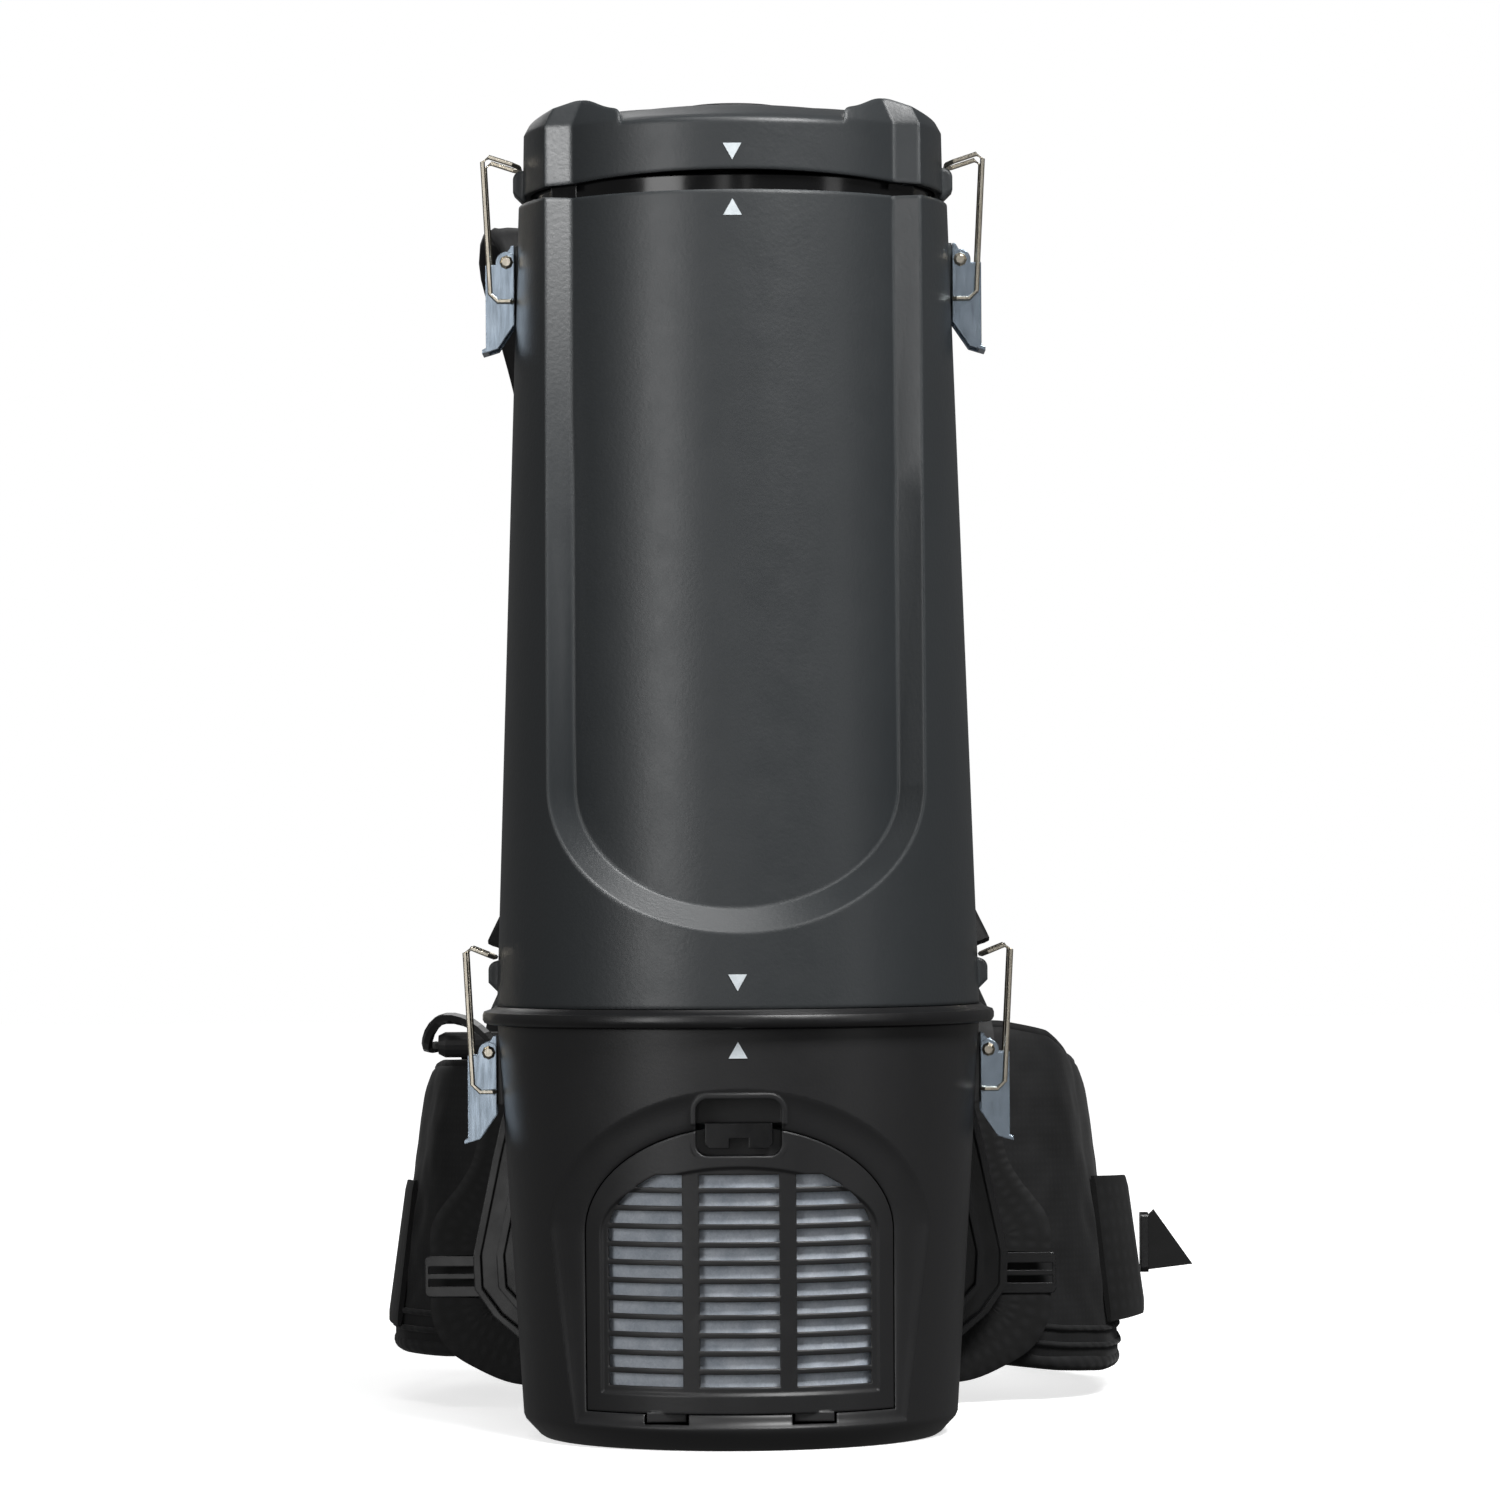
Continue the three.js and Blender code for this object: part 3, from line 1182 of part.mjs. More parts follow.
// Back frame
function frameOutline(inset, top = frameTopZ) {
  const half = [
    [frameFootHalf - inset / 2, frameFootZ + inset], [frameWideHalf - inset, frameWideZ],
    [frameKneeHalf - inset, frameKneeZ], [frameWaistHalf - inset, frameWaistZ],
    [frameNeckHalf - inset, frameNeckZ], [frameTopHalf - inset, top - inset],
  ];
  const loop = [...half, ...half.slice().reverse().map(([x, z]) => [-x, z])].map(([x, z]) => spot(x, z, 0));
  const middle = loop[0].clone().lerp(loop.at(-1), 0.5);
  const line = rounded([middle, ...loop, middle.clone()], frameCorner, frameSteps);
  return new THREE.Shape(line.slice(0, -1).map((p) => new THREE.Vector2(p.x, p.y)));
}
const frameBack = frameFace + frameThickness;
function backFrame() {
  const webFace = frameBack - frameWeb;
  const floor = (inset) => slab('xz', frameOutline(inset), frameFace - overrun, webFace);
  const inner = frameRim + frameGroove;
  const core = slab('xz', frameOutline(inner), frameFace - 2 * overrun, frameBack);
  const channel = floor(frameRim).subtract(core);
  const side = (z) =>
    mix(frameWideHalf, frameKneeHalf, (z - frameWideZ) / (frameKneeZ - frameWideZ)) - windowMargin;
  const windows = [1, -1].flatMap((hand) => [
    outlineOf([[windowInner, windowLowZ], [side(windowLowZ), windowLowZ],
      [side(windowHighZ) - windowMargin / 2, windowHighZ], [windowInner, windowHighZ]]),
    outlineOf([[windowInner, slotWindowZ], [side(windowLowZ) - windowMargin / 2, slotWindowZ],
      [side(windowLowZ), slotWindowZ + slotWindowHeight], [windowInner, slotWindowZ + slotWindowHeight]]),
  ].map((shape) => sided(hand, slab('xz', shape, frameFace - overrun, frameBack + overrun))));
  const spineWindow =
    roundOblong(-spineWindowHalf, spineWindowLow, spineWindowHalf, spineWindowHigh, bossRadius);
  const spine = slab('xz', spineWindow, frameFace - overrun, frameBack + overrun);
  const wallCut = turned([[0, 0], [baseRadiusAt(0) + bossWallGap, 0],
    [baseTopRadius + bossWallGap, baseHeight], [0, baseHeight]], facets);
  const bosses = [bossLowZ, bossHighZ].flatMap((z) => [bossX, -bossX].map((x) =>
    moved(discOf(bossRadius, bossY(z) - bossRadius, webFace + frameWeb / 2, smallFacets),
    alongY(spot(x, 0, z))).subtract(wallCut)));
  const rodCut = moved(discOf(rodRadius + gap, -frameWideHalf, frameWideHalf, smallFacets),
    alongX(spot(0, rodY, rodZ)));
  const plate = lessAll(slab('xz', frameOutline(0), frameFace, frameBack),
    [channel, floor(inner + frameRim), ...windows, spine]);
  return joined(plate, ...bosses).subtract(rodCut);
}

const supportRod = () => moved(turned([
  [0, -rodLeft], [rodRadius - rodEnd / 2, -rodLeft], [rodRadius, -rodLeft + rodEnd],
  [rodRadius, rodRight - rodEnd], [rodRadius - rodEnd / 2, rodRight], [0, rodRight],
], smallFacets), alongX(spot(0, rodY, rodZ)));

// Padding of the belt: a crowned pad behind the frame and a wing round each hip
const signOf = { left: -1, right: 1 };
const drawnIn = (v) => Math.sqrt(Math.max(0, 1 - v ** 4));
function along(list, s) {
  const at = THREE.MathUtils.clamp(s, 0, 1) * (list.length - 1);
  const i = Math.min(Math.floor(at), list.length - 2);
  return mix(list[i], list[i + 1], at - i);
}
const wingCurve = Object.fromEntries(Object.entries(signOf).map(([hand, sign]) => [hand,
  new THREE.CatmullRomCurve3(wingOutShares.map((share, i) =>
    spot(sign * mix(wingStart, frameWideHalf + wingBeyond[hand], share),
    wingFaceY + wingDepth * wingBackShares[i], 0)))]));
const wingTopAt = (hand, s) => mix(wingTipTop, baseHeight - wingBelowRim[hand],
  along(wingTopShares[hand], s));
const wingFootAt = (hand, s) => mix(wingLow[hand], wingTipFoot, along(wingFootShares[hand], s));

// Point by a wing: s along it, z up, and a distance out from its middle. Past its tip it runs straight on
function byWing(hand, s, z, outwards) {
  const held = Math.min(s, 1);
  const tangent = wingCurve[hand].getTangent(held);
  const out = spot(tangent.y, -tangent.x, 0).multiplyScalar(signOf[hand]);
  const [low, high] = [wingFootAt(hand, held), wingTopAt(hand, held)];
  const v = (2 * (z - low)) / (high - low) - 1;
  return wingCurve[hand].getPoint(held)
    .addScaledVector(tangent, (s - held) * wingDepth)
    .addScaledVector(out, outwards - v * wingFlare * along(wingFlareShares, held))
    .setZ(z);
}
// Place by a wing with its first axis along the wing, its second up and its third out
function wingFrame(hand, s, z, outwards) {
  const at = byWing(hand, s, z, outwards);
  const up = byWing(hand, s, z + 1, outwards).sub(at).normalize();
  const run = byWing(hand, s + weld, z, outwards).sub(at);
  const out = up.clone().cross(run).normalize().multiplyScalar(-signOf[hand]);
  return turnedTo(up.clone().cross(out), up, out, at);
}

const wingRows = 12;
const wingColumns = 8;
const wingEndShare = 0.1;
const wingEndLeastShare = 0.02;
function wing(hand) {
  const rings = [];
  for (let i = 0; i <= wingRows; i++) {
    const s = i / wingRows;
    const end = Math.min(1, Math.sqrt((Math.min(s, 1 - s) + wingEndLeastShare) / wingEndShare));
    const ring = [];
    for (const face of [1, -1]) {
      for (let k = 0; k <= wingColumns; k++) {
        const v = face * (1 - (2 * k) / wingColumns);
        const z = mix(wingFootAt(hand, s), wingTopAt(hand, s), (v + 1) / 2);
        ring.push(byWing(hand, s, z, (face * mix(wingEdge, wingThickness, drawnIn(v) * end)) / 2));
      }
    }
    rings.push(ring);
  }
  return loft(rings);
}

const lumbarSteps = 12;
function lumbarPad() {
  const face = frameBack + lumbarGap;
  const rings = [];
  for (let i = 0; i <= lumbarSteps; i++) {
    const s = i / lumbarSteps;
    const end = drawnIn(2 * s - 1);
    const half = lumbarHalf - padEdge * (1 - end);
    const ring = [spot(half, face, 0), spot(-half, face, 0)];
    for (let k = 0; k <= lumbarSteps; k++) {
      const v = -1 + (2 * k) / lumbarSteps;
      const channel = Math.abs(Math.abs(v) - padChannelShare) < weld ? padChannel : 0;
      ring.push(spot(v * half, face + mix(padEdge, lumbarThickness - channel, drawnIn(v) * end), 0));
    }
    rings.push(ring.map((p) => p.setZ(mix(lumbarFoot, lumbarTop, s))));
  }
  return loft(rings);
}

// Webbing, buckle halves and adjusters
const plain = (value) => () => value;
const curveOf = (points) => new THREE.CatmullRomCurve3(points.map(([x, y, z]) => spot(x, y, z)));
const hipShareAt = (t) => mix(hipStartShare, 1 + hipBeyond / wingDepth, t);
const hipOffAt = (hand, t) => wingThickness / 2 + padGap + hipBulge[hand] * along(hipBulgeShares, t);
const hipSteps = 14;
function hipWebbing(hand) {
  const rings = [];
  for (let i = 0; i <= hipSteps; i++) {
    const t = i / hipSteps;
    const half = mix(hipBandHeight, hipBandTipHeight, along(hipTaperShares, t)) / 2;
    const off = hipOffAt(hand, t);
    const corners = [[-half, off], [-half, off + webbing], [half, off + webbing], [half, off]];
    rings.push(corners.map(([rise, outwards]) =>
      byWing(hand, hipShareAt(t), hipBandMiddle + rise, outwards)));
  }
  return loft(rings);
}

// Buckle halves, drawn with the webbing's end at the origin and the webbing running along +X
const buckleFrame = (hand) => wingFrame(hand, hipShareAt(1), hipBandMiddle, hipOffAt(hand, 1) + webbing / 2);
const buckleBody = (length) =>
  slab('xz', roundOblong(gap, -buckleThickness / 2, length, buckleThickness / 2, webbing),
  -buckleWidth / 2, buckleWidth / 2);
const about = turnedTo(spot(-1, 0, 0), spot(0, 1, 0), spot(0, 0, -1), spot(0, 0, 0));
const forward = (hand) => (buckleFrame(hand).elements[1] < 0 ? about : new THREE.Matrix4());
function buckleSocket() {
  const mouth = slab('xy',
    roundOblong(buckleLength / 4, -buckleProng, buckleLength + overrun, buckleProng, webbing),
    -buckleThickness / 2 + webbing, buckleThickness / 2 - webbing);
  return moved(moved(buckleBody(buckleLength).subtract(mouth), forward('right')), buckleFrame('right'));
}
function bucklePlug() {
  const prongs = [-1, 0, 1].map((i) => {
    const middle = i * (buckleProng - 2 * webbing);
    return slab('xy', oblong(buckleLength / 4, middle - webbing, buckleLength * prongShare, middle + webbing),
      -buckleThickness / 2 + webbing + gap, buckleThickness / 2 - webbing - gap);
  });
  return moved(moved(joined(buckleBody(buckleLength / 3), ...prongs), forward('left')), buckleFrame('left'));
}

const glideMiddle = tailFootZ + tailHeight / 2;
const glideSpot = byWing('right', hipShareAt(glideShare), glideMiddle - glideHeight / 2,
  hipOffAt('right', glideShare) + webbing + gap);
function stripGlide() {
  const [across, up] = [glideDepth / 2, glideHeight / 2];
  const plate = slab('yz', roundOblong(-across, -up, across, up, webbing), 0, glideWidth);
  const holes = [-1, 1].map((side) => {
    const [y0, y1] = [-1, 1].map((end) => (side * across) / 2 + (end * webbing) / 2);
    return slab('yz', oblong(y0, webbing - up, y1, up - webbing), -overrun, overrun);
  });
  const at = new THREE.Matrix4().makeTranslation(glideSpot.x, glideSpot.y, glideMiddle);
  return moved(lessAll(plate, holes), at);
}
function strapTail() {
  const x = glideSpot.x + glideWidth + gap;
  const shape = outlineOf([[x, tailFootZ], [x + tailLength, tailFootZ + webbing],
    [x + webbing, tailFootZ + tailHeight + webbing], [x, tailFootZ + tailHeight]]);
  return slab('xz', shape, glideSpot.y - webbing / 2, glideSpot.y + webbing / 2);
}

// Routes of the straps: down over each shoulder, then the webbing to the adjuster, then round the
// frame's corner
const shoulderOut = {
  left: [36, 44, 57, 72, 84, 90, 88, 78, 68, 66, 77, 88],
  right: [36, 40, 47, 55, 62, 67, 68, 67, 66, 66, 77, 88],
};
const shoulderBehind = [6.2, 8.2, 11.2, 18.2, 29.2, 40.2, 48.2, 54.2, 60.2, 61.2, 51.2, 39.2];
const shoulderRiseShares = {
  left: [0.803, 0.875, 0.954, 1.02, 1.053, 1.03, 0.941, 0.786, 0.539, 0.276, 0.086, 0],
  right: [0.803, 0.875, 0.947, 1.007, 1.036, 1.01, 0.928, 0.78, 0.539, 0.276, 0.086, 0],
};
const strapIn = [35.7, 33, 29, 26, 24, 23, 18, 11, 4, 0, 0];
const strapBehind = [38.8, 35.4, 22.2, 8.2, 2.05, 2.05, 2.05, 2.05, 2.05, 2.05, 2.05];
const strapRiseShares = [0.993, 0.9409, 0.8757, 0.8096, 0.7203, 0.4872, 0.2929, 0.1919, 0.122, 0.0754, 0];
const anchorIn = [0, 0, 4, 14, 26, 40];
const anchorRiseShares = [1, 0.787, 0.468, 0.225, 0.037, 0];
const routeOf = (outs, behinds, riseShares, low, high) =>
  outs.map((x, i) => [x, frameBack + behinds[i], mix(low, high, riseShares[i])]);
const shoulderRoute = (hand) => routeOf(shoulderOut[hand].map((x) => signOf[hand] * x), shoulderBehind,
  shoulderRiseShares[hand], shoulderFoot, frameTopZ);
const adjusterEnd = adjusterHeight / 2 + gap;
const strapRoute = routeOf(strapIn.map((x) => adjusterX - x), strapBehind, strapRiseShares,
  adjusterZ + adjusterEnd, shoulderFoot);
const anchorRoute = routeOf(anchorIn.map((x) => adjusterX - x), anchorIn.map(() => lowerStrapBehindFrame),
  anchorRiseShares, anchorFoot, adjusterZ - adjusterEnd);
const shoulderSteps = 20;
const shoulderColumns = 5;
const strapSteps = 18;
const anchorSteps = 10;
const shoulderPad = (hand) => band(curveOf(shoulderRoute(hand)), shoulderSteps, plain(spot(1, 0, 0)),
  plain(shoulderWidth), plain(shoulderThickness), padEdge, shoulderColumns);
const strapTurnShare = 0.6; // along the webbing, where it starts to lean with the frame's edge
const strapLean = 1.4;
const strapTurn = (s) => spot(1, 0, Math.max(0, s - strapTurnShare) * strapLean);
const shoulderWeb = () => solid(band(curveOf(strapRoute), strapSteps, strapTurn, plain(lowerStrapWidth),
  plain(webbing), webbing));
const anchorLean = 0.5;
const anchorTurn = (s) => spot(1 - s, 0, -anchorLean - s);
const anchorWeb = () => solid(band(curveOf(anchorRoute), anchorSteps, anchorTurn, plain(lowerStrapWidth),
  plain(webbing), webbing));

function strapAdjuster() {
  const [across, up, deep] = [adjusterWidth / 2, adjusterHeight / 2, adjusterThickness / 2];
  const plate = slab('xy', roundOblong(-across, -up, across, up, webbing), -deep, deep);
  const half = across - adjusterBar / 2;
  const hole = (low) => slab('xy', oblong(-half, low, half, low + adjusterBar), -overrun, overrun);
  return moved(lessAll(plate, [hole(webbing / 2), hole(-webbing / 2 - adjusterBar)]),
    turnedTo(spot(1, 0, 0), spot(0, 0, 1), spot(0, -1, 0), spot(adjusterX, lowerStrapY, adjusterZ)));
}

// Switch on the left wing: a box that hugs the wing and a rocker in its pocket
const boxSteps = 6;
const boxSeat = wingThickness / 2 + gap;
const rockerPivot = boxDepth - rockerDrop;
const boxFrame = () => wingFrame('left', boxShare, boxHeight, boxSeat);
function switchBox() {
  const rings = [];
  for (let i = 0; i <= boxSteps; i++) {
    const s = boxShare + ((i / boxSteps - 0.5) * boxLength) / wingDepth;
    const end = i === 0 || i === boxSteps ? boxCorner : 0;
    const half = boxWidth / 2 - end;
    const [low, high] = [boxSeat, boxSeat + boxDepth - end];
    rings.push([[-half, low], [-half, high - boxCorner], [boxCorner - half, high], [half - boxCorner, high],
      [half, high - boxCorner], [half, low]].map(([rise, off]) => byWing('left', s, boxHeight + rise, off)));
  }
  const [reach, half] = [rockerReach + gap, rockerWidth / 2 + gap];
  const pocket = slab('xy', oblong(-reach, -half, reach, half), boxFloor, boxDepth + overrun);
  return solid(loft(rings)).subtract(moved(pocket, boxFrame()));
}
function switchRocker() {
  const shape = new THREE.Shape();
  const [spread, tilt] = [rockerSpread, rockerTilt].map(THREE.MathUtils.degToRad);
  shape.absarc(0, 0, rockerReach, tilt - spread, tilt + spread);
  shape.lineTo(-Math.sin(tilt) * rockerDrop, Math.cos(tilt) * rockerDrop);
  shape.absarc(0, 0, rockerReach, Math.PI + tilt - spread, Math.PI + tilt + spread);
  shape.lineTo(Math.sin(tilt) * rockerDrop, -Math.cos(tilt) * rockerDrop);
  const body = slab('xz', shape, -rockerWidth / 2, rockerWidth / 2);
  const stand = turnedTo(spot(1, 0, 0), spot(0, 1, 0), spot(0, 0, 1), spot(0, 0, rockerPivot));
  return moved(moved(body, stand), boxFrame());
}

// Lead from the gland on the base over the rod's end, over the wing's top edge and down inside the belt
const leadGland = () => moved(turned([
  [leadBore, glandSeat], [glandRadius, glandSeat], [glandRadius, glandLength / 3],
  [leadBore + gap * 2, glandLength], [leadBore, glandLength], [leadBore, glandSeat],
], smallFacets), wallFrame(glandAngle, glandHeight, baseRadiusAt(glandHeight)));
const leadInside = -wingThickness / 2 - leadRadius - padGap;
const leadStarts = [-0.8, 12.9]; // out from the base's wall
const leadPlaces = [[-16.5, -46.8, 3], [-10.5, -34.8, 8.5], [-3.5, -19.8, 12.5], [4.5, -8.8, 14.3],
  [11, -0.8, 13], [15.2, 5.2, 8], [17, 13.2, 2.5], [16.5, 25.2, 0.5], [12, 37.2, 0.5]];
const leadDrops = [[0.45, 4], [0.47, 12], [0.49, 24]]; // along the wing, and down
const leadRoute = () => [
  ...leadStarts.map((out) => spot(0, 0, 0)
    .applyMatrix4(wallFrame(glandAngle, glandHeight, baseRadiusAt(glandHeight) + out)).toArray()),
  ...leadPlaces.map(([beyond, behind, rise]) =>
    [-frameWideHalf - beyond, frameFace + behind, glandHeight + rise]),
  ...leadDrops.map(([s, drop]) => byWing('left', s, glandHeight - drop, leadInside).toArray()),
];
const leadSteps = 24;
const switchLead = () => solid(wire(curveOf(leadRoute()).getPoints(leadSteps), leadRadius, wireSides));

// Cord inlet: a round socket with two pins
function cordInlet() {
  const foot = glandSeat * 2;
  const floorTop = foot + socketFloor;
  const barrel = turned([
    [0, foot], [socketRadius, foot], [socketRadius, socketLength], [socketBore, socketLength],
    [socketBore, floorTop], [0, floorTop],
  ], smallFacets);
  const pins = [-1, 1].map((side) => {
    const [x0, x1] = [-1, 1].map((end) => side * pinSpread + (end * pinThickness) / 2);
    return slab('xy', oblong(x0, -pinWidth / 2, x1, pinWidth / 2), foot + socketFloor / 2,
      floorTop + pinLength);
  });
  return moved(joined(barrel, ...pins), wallFrame(socketAngle, socketHeight, baseRadiusAt(socketHeight)));
}

add('lid', lidShell(), finishes.charcoal);
add('lid_seal', lidSeal(), finishes.rubber);
add('hose_inlet', hoseInlet(), finishes.black);
add('bag_chamber', bagChamber(), finishes.charcoal);
add('joint_ring', jointRing(), finishes.rubber);
add('bag_collar', bagCollar(), finishes.black);
add('filter_bag', filterBag(), finishes.paper);
add('bag_support_grid', supportGrid(), finishes.black);
add('motor_filter', motorFilter(), finishes.foam);
add('base_housing', baseHousing(), finishes.black);
add('filter_door', filterDoor(), finishes.black);
add('door_catch', doorCatch(), finishes.gloss);
add('exhaust_filter', exhaustFilter(), finishes.felt);
add('motor_deck', motorDeck(), finishes.black);
add('motor_seal', motorSeal(), finishes.rubber);
add('fan_shell', fanShell(), finishes.steel);
add('impeller', impeller(), finishes.steel);
add('armature', armature(), finishes.copper);
add('field_frame', fieldFrame(), finishes.steel);
add('motor_boot', motorBoot(), finishes.rubber);
addLatch('upper', upperRivetRadius, upperRivetHeight, lidRadius);
addLatch('lower', lowerRivetRadius, lowerRivetHeight, chamberRadiusAt(lugTopAt(lowerRivetHeight)));
add('back_frame', backFrame(), finishes.gloss);
add('belt_support_rod', supportRod(), finishes.black);
add('lumbar_pad', lumbarPad(), finishes.fabric);
for (const hand of ['left', 'right']) {
  add(`waist_wing_${hand}`, wing(hand), finishes.fabric);
  add(`hip_webbing_${hand}`, hipWebbing(hand), finishes.webbing);
  add(`shoulder_pad_${hand}`, shoulderPad(hand), finishes.fabric);
  add(`shoulder_webbing_${hand}`, sided(signOf[hand], shoulderWeb()), finishes.webbing);
  add(`anchor_webbing_${hand}`, sided(signOf[hand], anchorWeb()), finishes.webbing);
  add(`strap_adjuster_${hand}`, sided(signOf[hand], strapAdjuster()), finishes.gloss);
}
add('buckle_socket', buckleSocket(), finishes.gloss);
add('buckle_plug', bucklePlug(), finishes.gloss);
add('strap_glide', stripGlide(), finishes.gloss);
add('strap_tail', strapTail(), finishes.webbing);
add('switch_box', switchBox(), finishes.black);
add('switch_rocker', switchRocker(), finishes.gloss);
add('switch_lead', switchLead(), finishes.rubber);
add('lead_gland', leadGland(), finishes.rubber);
add('cord_inlet', cordInlet(), finishes.black);

export default model;
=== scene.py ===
import bpy
import bmesh
import math
from functools import partial
from mathutils import Matrix, Vector, noise


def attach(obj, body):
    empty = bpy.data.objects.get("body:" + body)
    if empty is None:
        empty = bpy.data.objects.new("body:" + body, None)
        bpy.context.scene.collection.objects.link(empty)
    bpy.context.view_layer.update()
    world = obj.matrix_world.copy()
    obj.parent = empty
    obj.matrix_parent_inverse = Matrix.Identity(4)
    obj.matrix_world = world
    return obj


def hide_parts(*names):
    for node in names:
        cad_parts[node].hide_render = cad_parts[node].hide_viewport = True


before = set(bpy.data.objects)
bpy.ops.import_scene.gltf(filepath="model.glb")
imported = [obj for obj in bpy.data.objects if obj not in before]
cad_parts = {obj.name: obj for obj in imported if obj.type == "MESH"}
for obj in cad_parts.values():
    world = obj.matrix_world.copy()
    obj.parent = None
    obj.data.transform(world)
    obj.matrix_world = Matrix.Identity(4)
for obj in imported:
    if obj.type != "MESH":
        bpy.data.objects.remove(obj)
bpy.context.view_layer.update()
mm = 0.001  # sizes below are in millimetres
shown = bpy.context.scene.collection
print("frame loaded,", len(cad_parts), "nodes")


class Sizes(dict):  # a dictionary of settings, read as settings.name
    __getattr__ = dict.__getitem__


# Camera, studio and light

view = Sizes(eye=(5.3, -2500, 234.5), sensor=36, rise=0.0825, roll=0.39,
             width=630)  # what the picture spans at the canister's axis
camera = bpy.data.objects.new("photoView", bpy.data.cameras.new("photoView"))
shown.objects.link(camera)
camera.location = Vector(view.eye) * mm
camera.rotation_euler = (math.pi / 2, math.radians(view.roll), 0)
camera.data.sensor_width = view.sensor
camera.data.lens = view.sensor * -view.eye[1] / view.width
camera.data.shift_y = view.rise
bpy.context.scene.camera = camera

studio = {
    "key": Sizes(at=(900, -1400, 2050), size=(1000, 800), watts=80),
    "left": Sizes(at=(-1500, -1900, 700), size=(900, 1500), watts=17),
    "right": Sizes(at=(2000, -1300, 450), size=(400, 1400), watts=2),
    "top": Sizes(at=(0, -400, 2000), size=(900, 700), watts=8),
    "rear": Sizes(at=(-700, 1700, 1500), size=(1200, 1100), watts=7),
    "leftBar": Sizes(at=(-230, -2600, 500), size=(280, 1900), watts=1.9),  # seen in the bright metal alone
    "rightBar": Sizes(at=(350, -2600, 500), size=(90, 1900), watts=0.6),
}
aim = Vector((0, 0, 280)) * mm
bpy.context.scene.view_settings.view_transform = "Standard"
for name, lamp in studio.items():
    light = bpy.data.lights.new(name, "AREA")
    light.shape = "RECTANGLE"
    light.size, light.size_y = (side * mm for side in lamp.size)
    light.energy = lamp.watts
    holder = bpy.data.objects.new(name, light)
    shown.objects.link(holder)
    holder.location = Vector(lamp.at) * mm
    holder.rotation_euler = (aim - holder.location).to_track_quat("-Z", "Y").to_euler()


# Lines and curves

def lerp(a, b, t):
    return a + (b - a) * t


def along(values, s):
    at = min(max(s, 0), 1) * (len(values) - 1)
    i = min(int(at), len(values) - 2)
    return lerp(values[i], values[i + 1], at - i)


def curveThrough(points):  # one smooth centripetal curve through the points
    points = [Vector(p) for p in points]
    last = len(points) - 1
    full = [2 * points[0] - points[1], *points, 2 * points[last] - points[last - 1]]

    def at(t):
        place = min(max(t, 0), 1) * last
        i = min(int(place), last - 1)
        w = place - i
        p0, p1, p2, p3 = full[i:i + 4]
        d0, d1, d2 = (max((b - a).length ** 0.5, 1e-4) for a, b in ((p0, p1), (p1, p2), (p2, p3)))
        t1 = ((p1 - p0) / d0 - (p2 - p0) / (d0 + d1) + (p2 - p1) / d1) * d1
        t2 = ((p2 - p1) / d1 - (p3 - p1) / (d1 + d2) + (p3 - p2) / d2) * d1
        bend = (-3 * p1 + 3 * p2 - 2 * t1 - t2) * w ** 2
        return p1 + t1 * w + bend + (2 * p1 - 2 * p2 + t1 + t2) * w ** 3

    return at


def evenSpots(curve, steps, samples=400):  # points at even distances along a curve
    fine = [curve(i / samples) for i in range(samples + 1)]
    run = [0]
    for a, b in zip(fine, fine[1:]):
        run.append(run[-1] + (b - a).length)
    spots, k = [], 0
    for i in range(steps + 1):
        want = run[-1] * i / steps
        while k < samples - 1 and run[k + 1] < want:
            k += 1
        part = (want - run[k]) / max(run[k + 1] - run[k], 1e-9)
        spots.append(fine[k].lerp(fine[k + 1], min(part, 1)))
    return spots


def tangents(spots):
    last = len(spots) - 1
    return [(spots[min(i + 1, last)] - spots[max(i - 1, 0)]).normalized() for i in range(last + 1)]


def arc(wide, high, start, end, steps, at=(0, 0)):  # part of an ellipse round a point
    angles = [lerp(start, end, i / steps) for i in range(steps + 1)]
    return [(at[0] + wide * math.cos(angle), at[1] + high * math.sin(angle)) for angle in angles]


def straight(a, b, steps):  # points from a towards b, without b itself
    return [(lerp(a[0], b[0], i / steps), lerp(a[1], b[1], i / steps)) for i in range(steps)]


def box(a0, b0, a1, b1):
    return [(a0, b0), (a1, b0), (a1, b1), (a0, b1)]


def roundBox(a0, b0, a1, b1, radius, steps=8):
    quarter, line = math.pi / 2, []
    centres = box(a0 + radius, b0 + radius, a1 - radius, b1 - radius)
    for turn, centre in enumerate(centres[1:] + centres[:1]):
        line += arc(radius, radius, (turn - 1) * quarter, turn * quarter, steps, centre)
    return line


def roundedLine(points, radius, steps=6):  # a closed outline with its corners rounded
    line = []
    for i, point in enumerate(points):
        here = Vector(point)
        toBack = Vector(points[i - 1]) - here
        toNext = Vector(points[(i + 1) % len(points)]) - here
        reach = min(radius, toBack.length * 0.45, toNext.length * 0.45)
        a, b = here + toBack.normalized() * reach, here + toNext.normalized() * reach
        for k in range(steps + 1):
            t = k / steps
            line.append(tuple(a.lerp(here, t).lerp(here.lerp(b, t), t)))
    return line


# Meshes

weld = 0.002  # points closer than this are one


def rawMesh(points, faces, uvs=None):  # uvs holds each point's place on its cloth
    mesh = bpy.data.meshes.new("form")
    mesh.from_pydata([tuple(p) for p in points], [], faces)
    if uvs:
        layer = mesh.uv_layers.new(name="cloth")
        for loop in mesh.loops:
            layer.data[loop.index].uv = Vector(uvs[loop.vertex_index]) * mm
    work = bmesh.new()
    work.from_mesh(mesh)
    bmesh.ops.remove_doubles(work, verts=work.verts, dist=weld)
    bmesh.ops.recalc_face_normals(work, faces=work.faces)
    work.to_mesh(mesh)
    work.free()
    piece = bpy.data.objects.new("form", mesh)
    shown.objects.link(piece)
    return piece


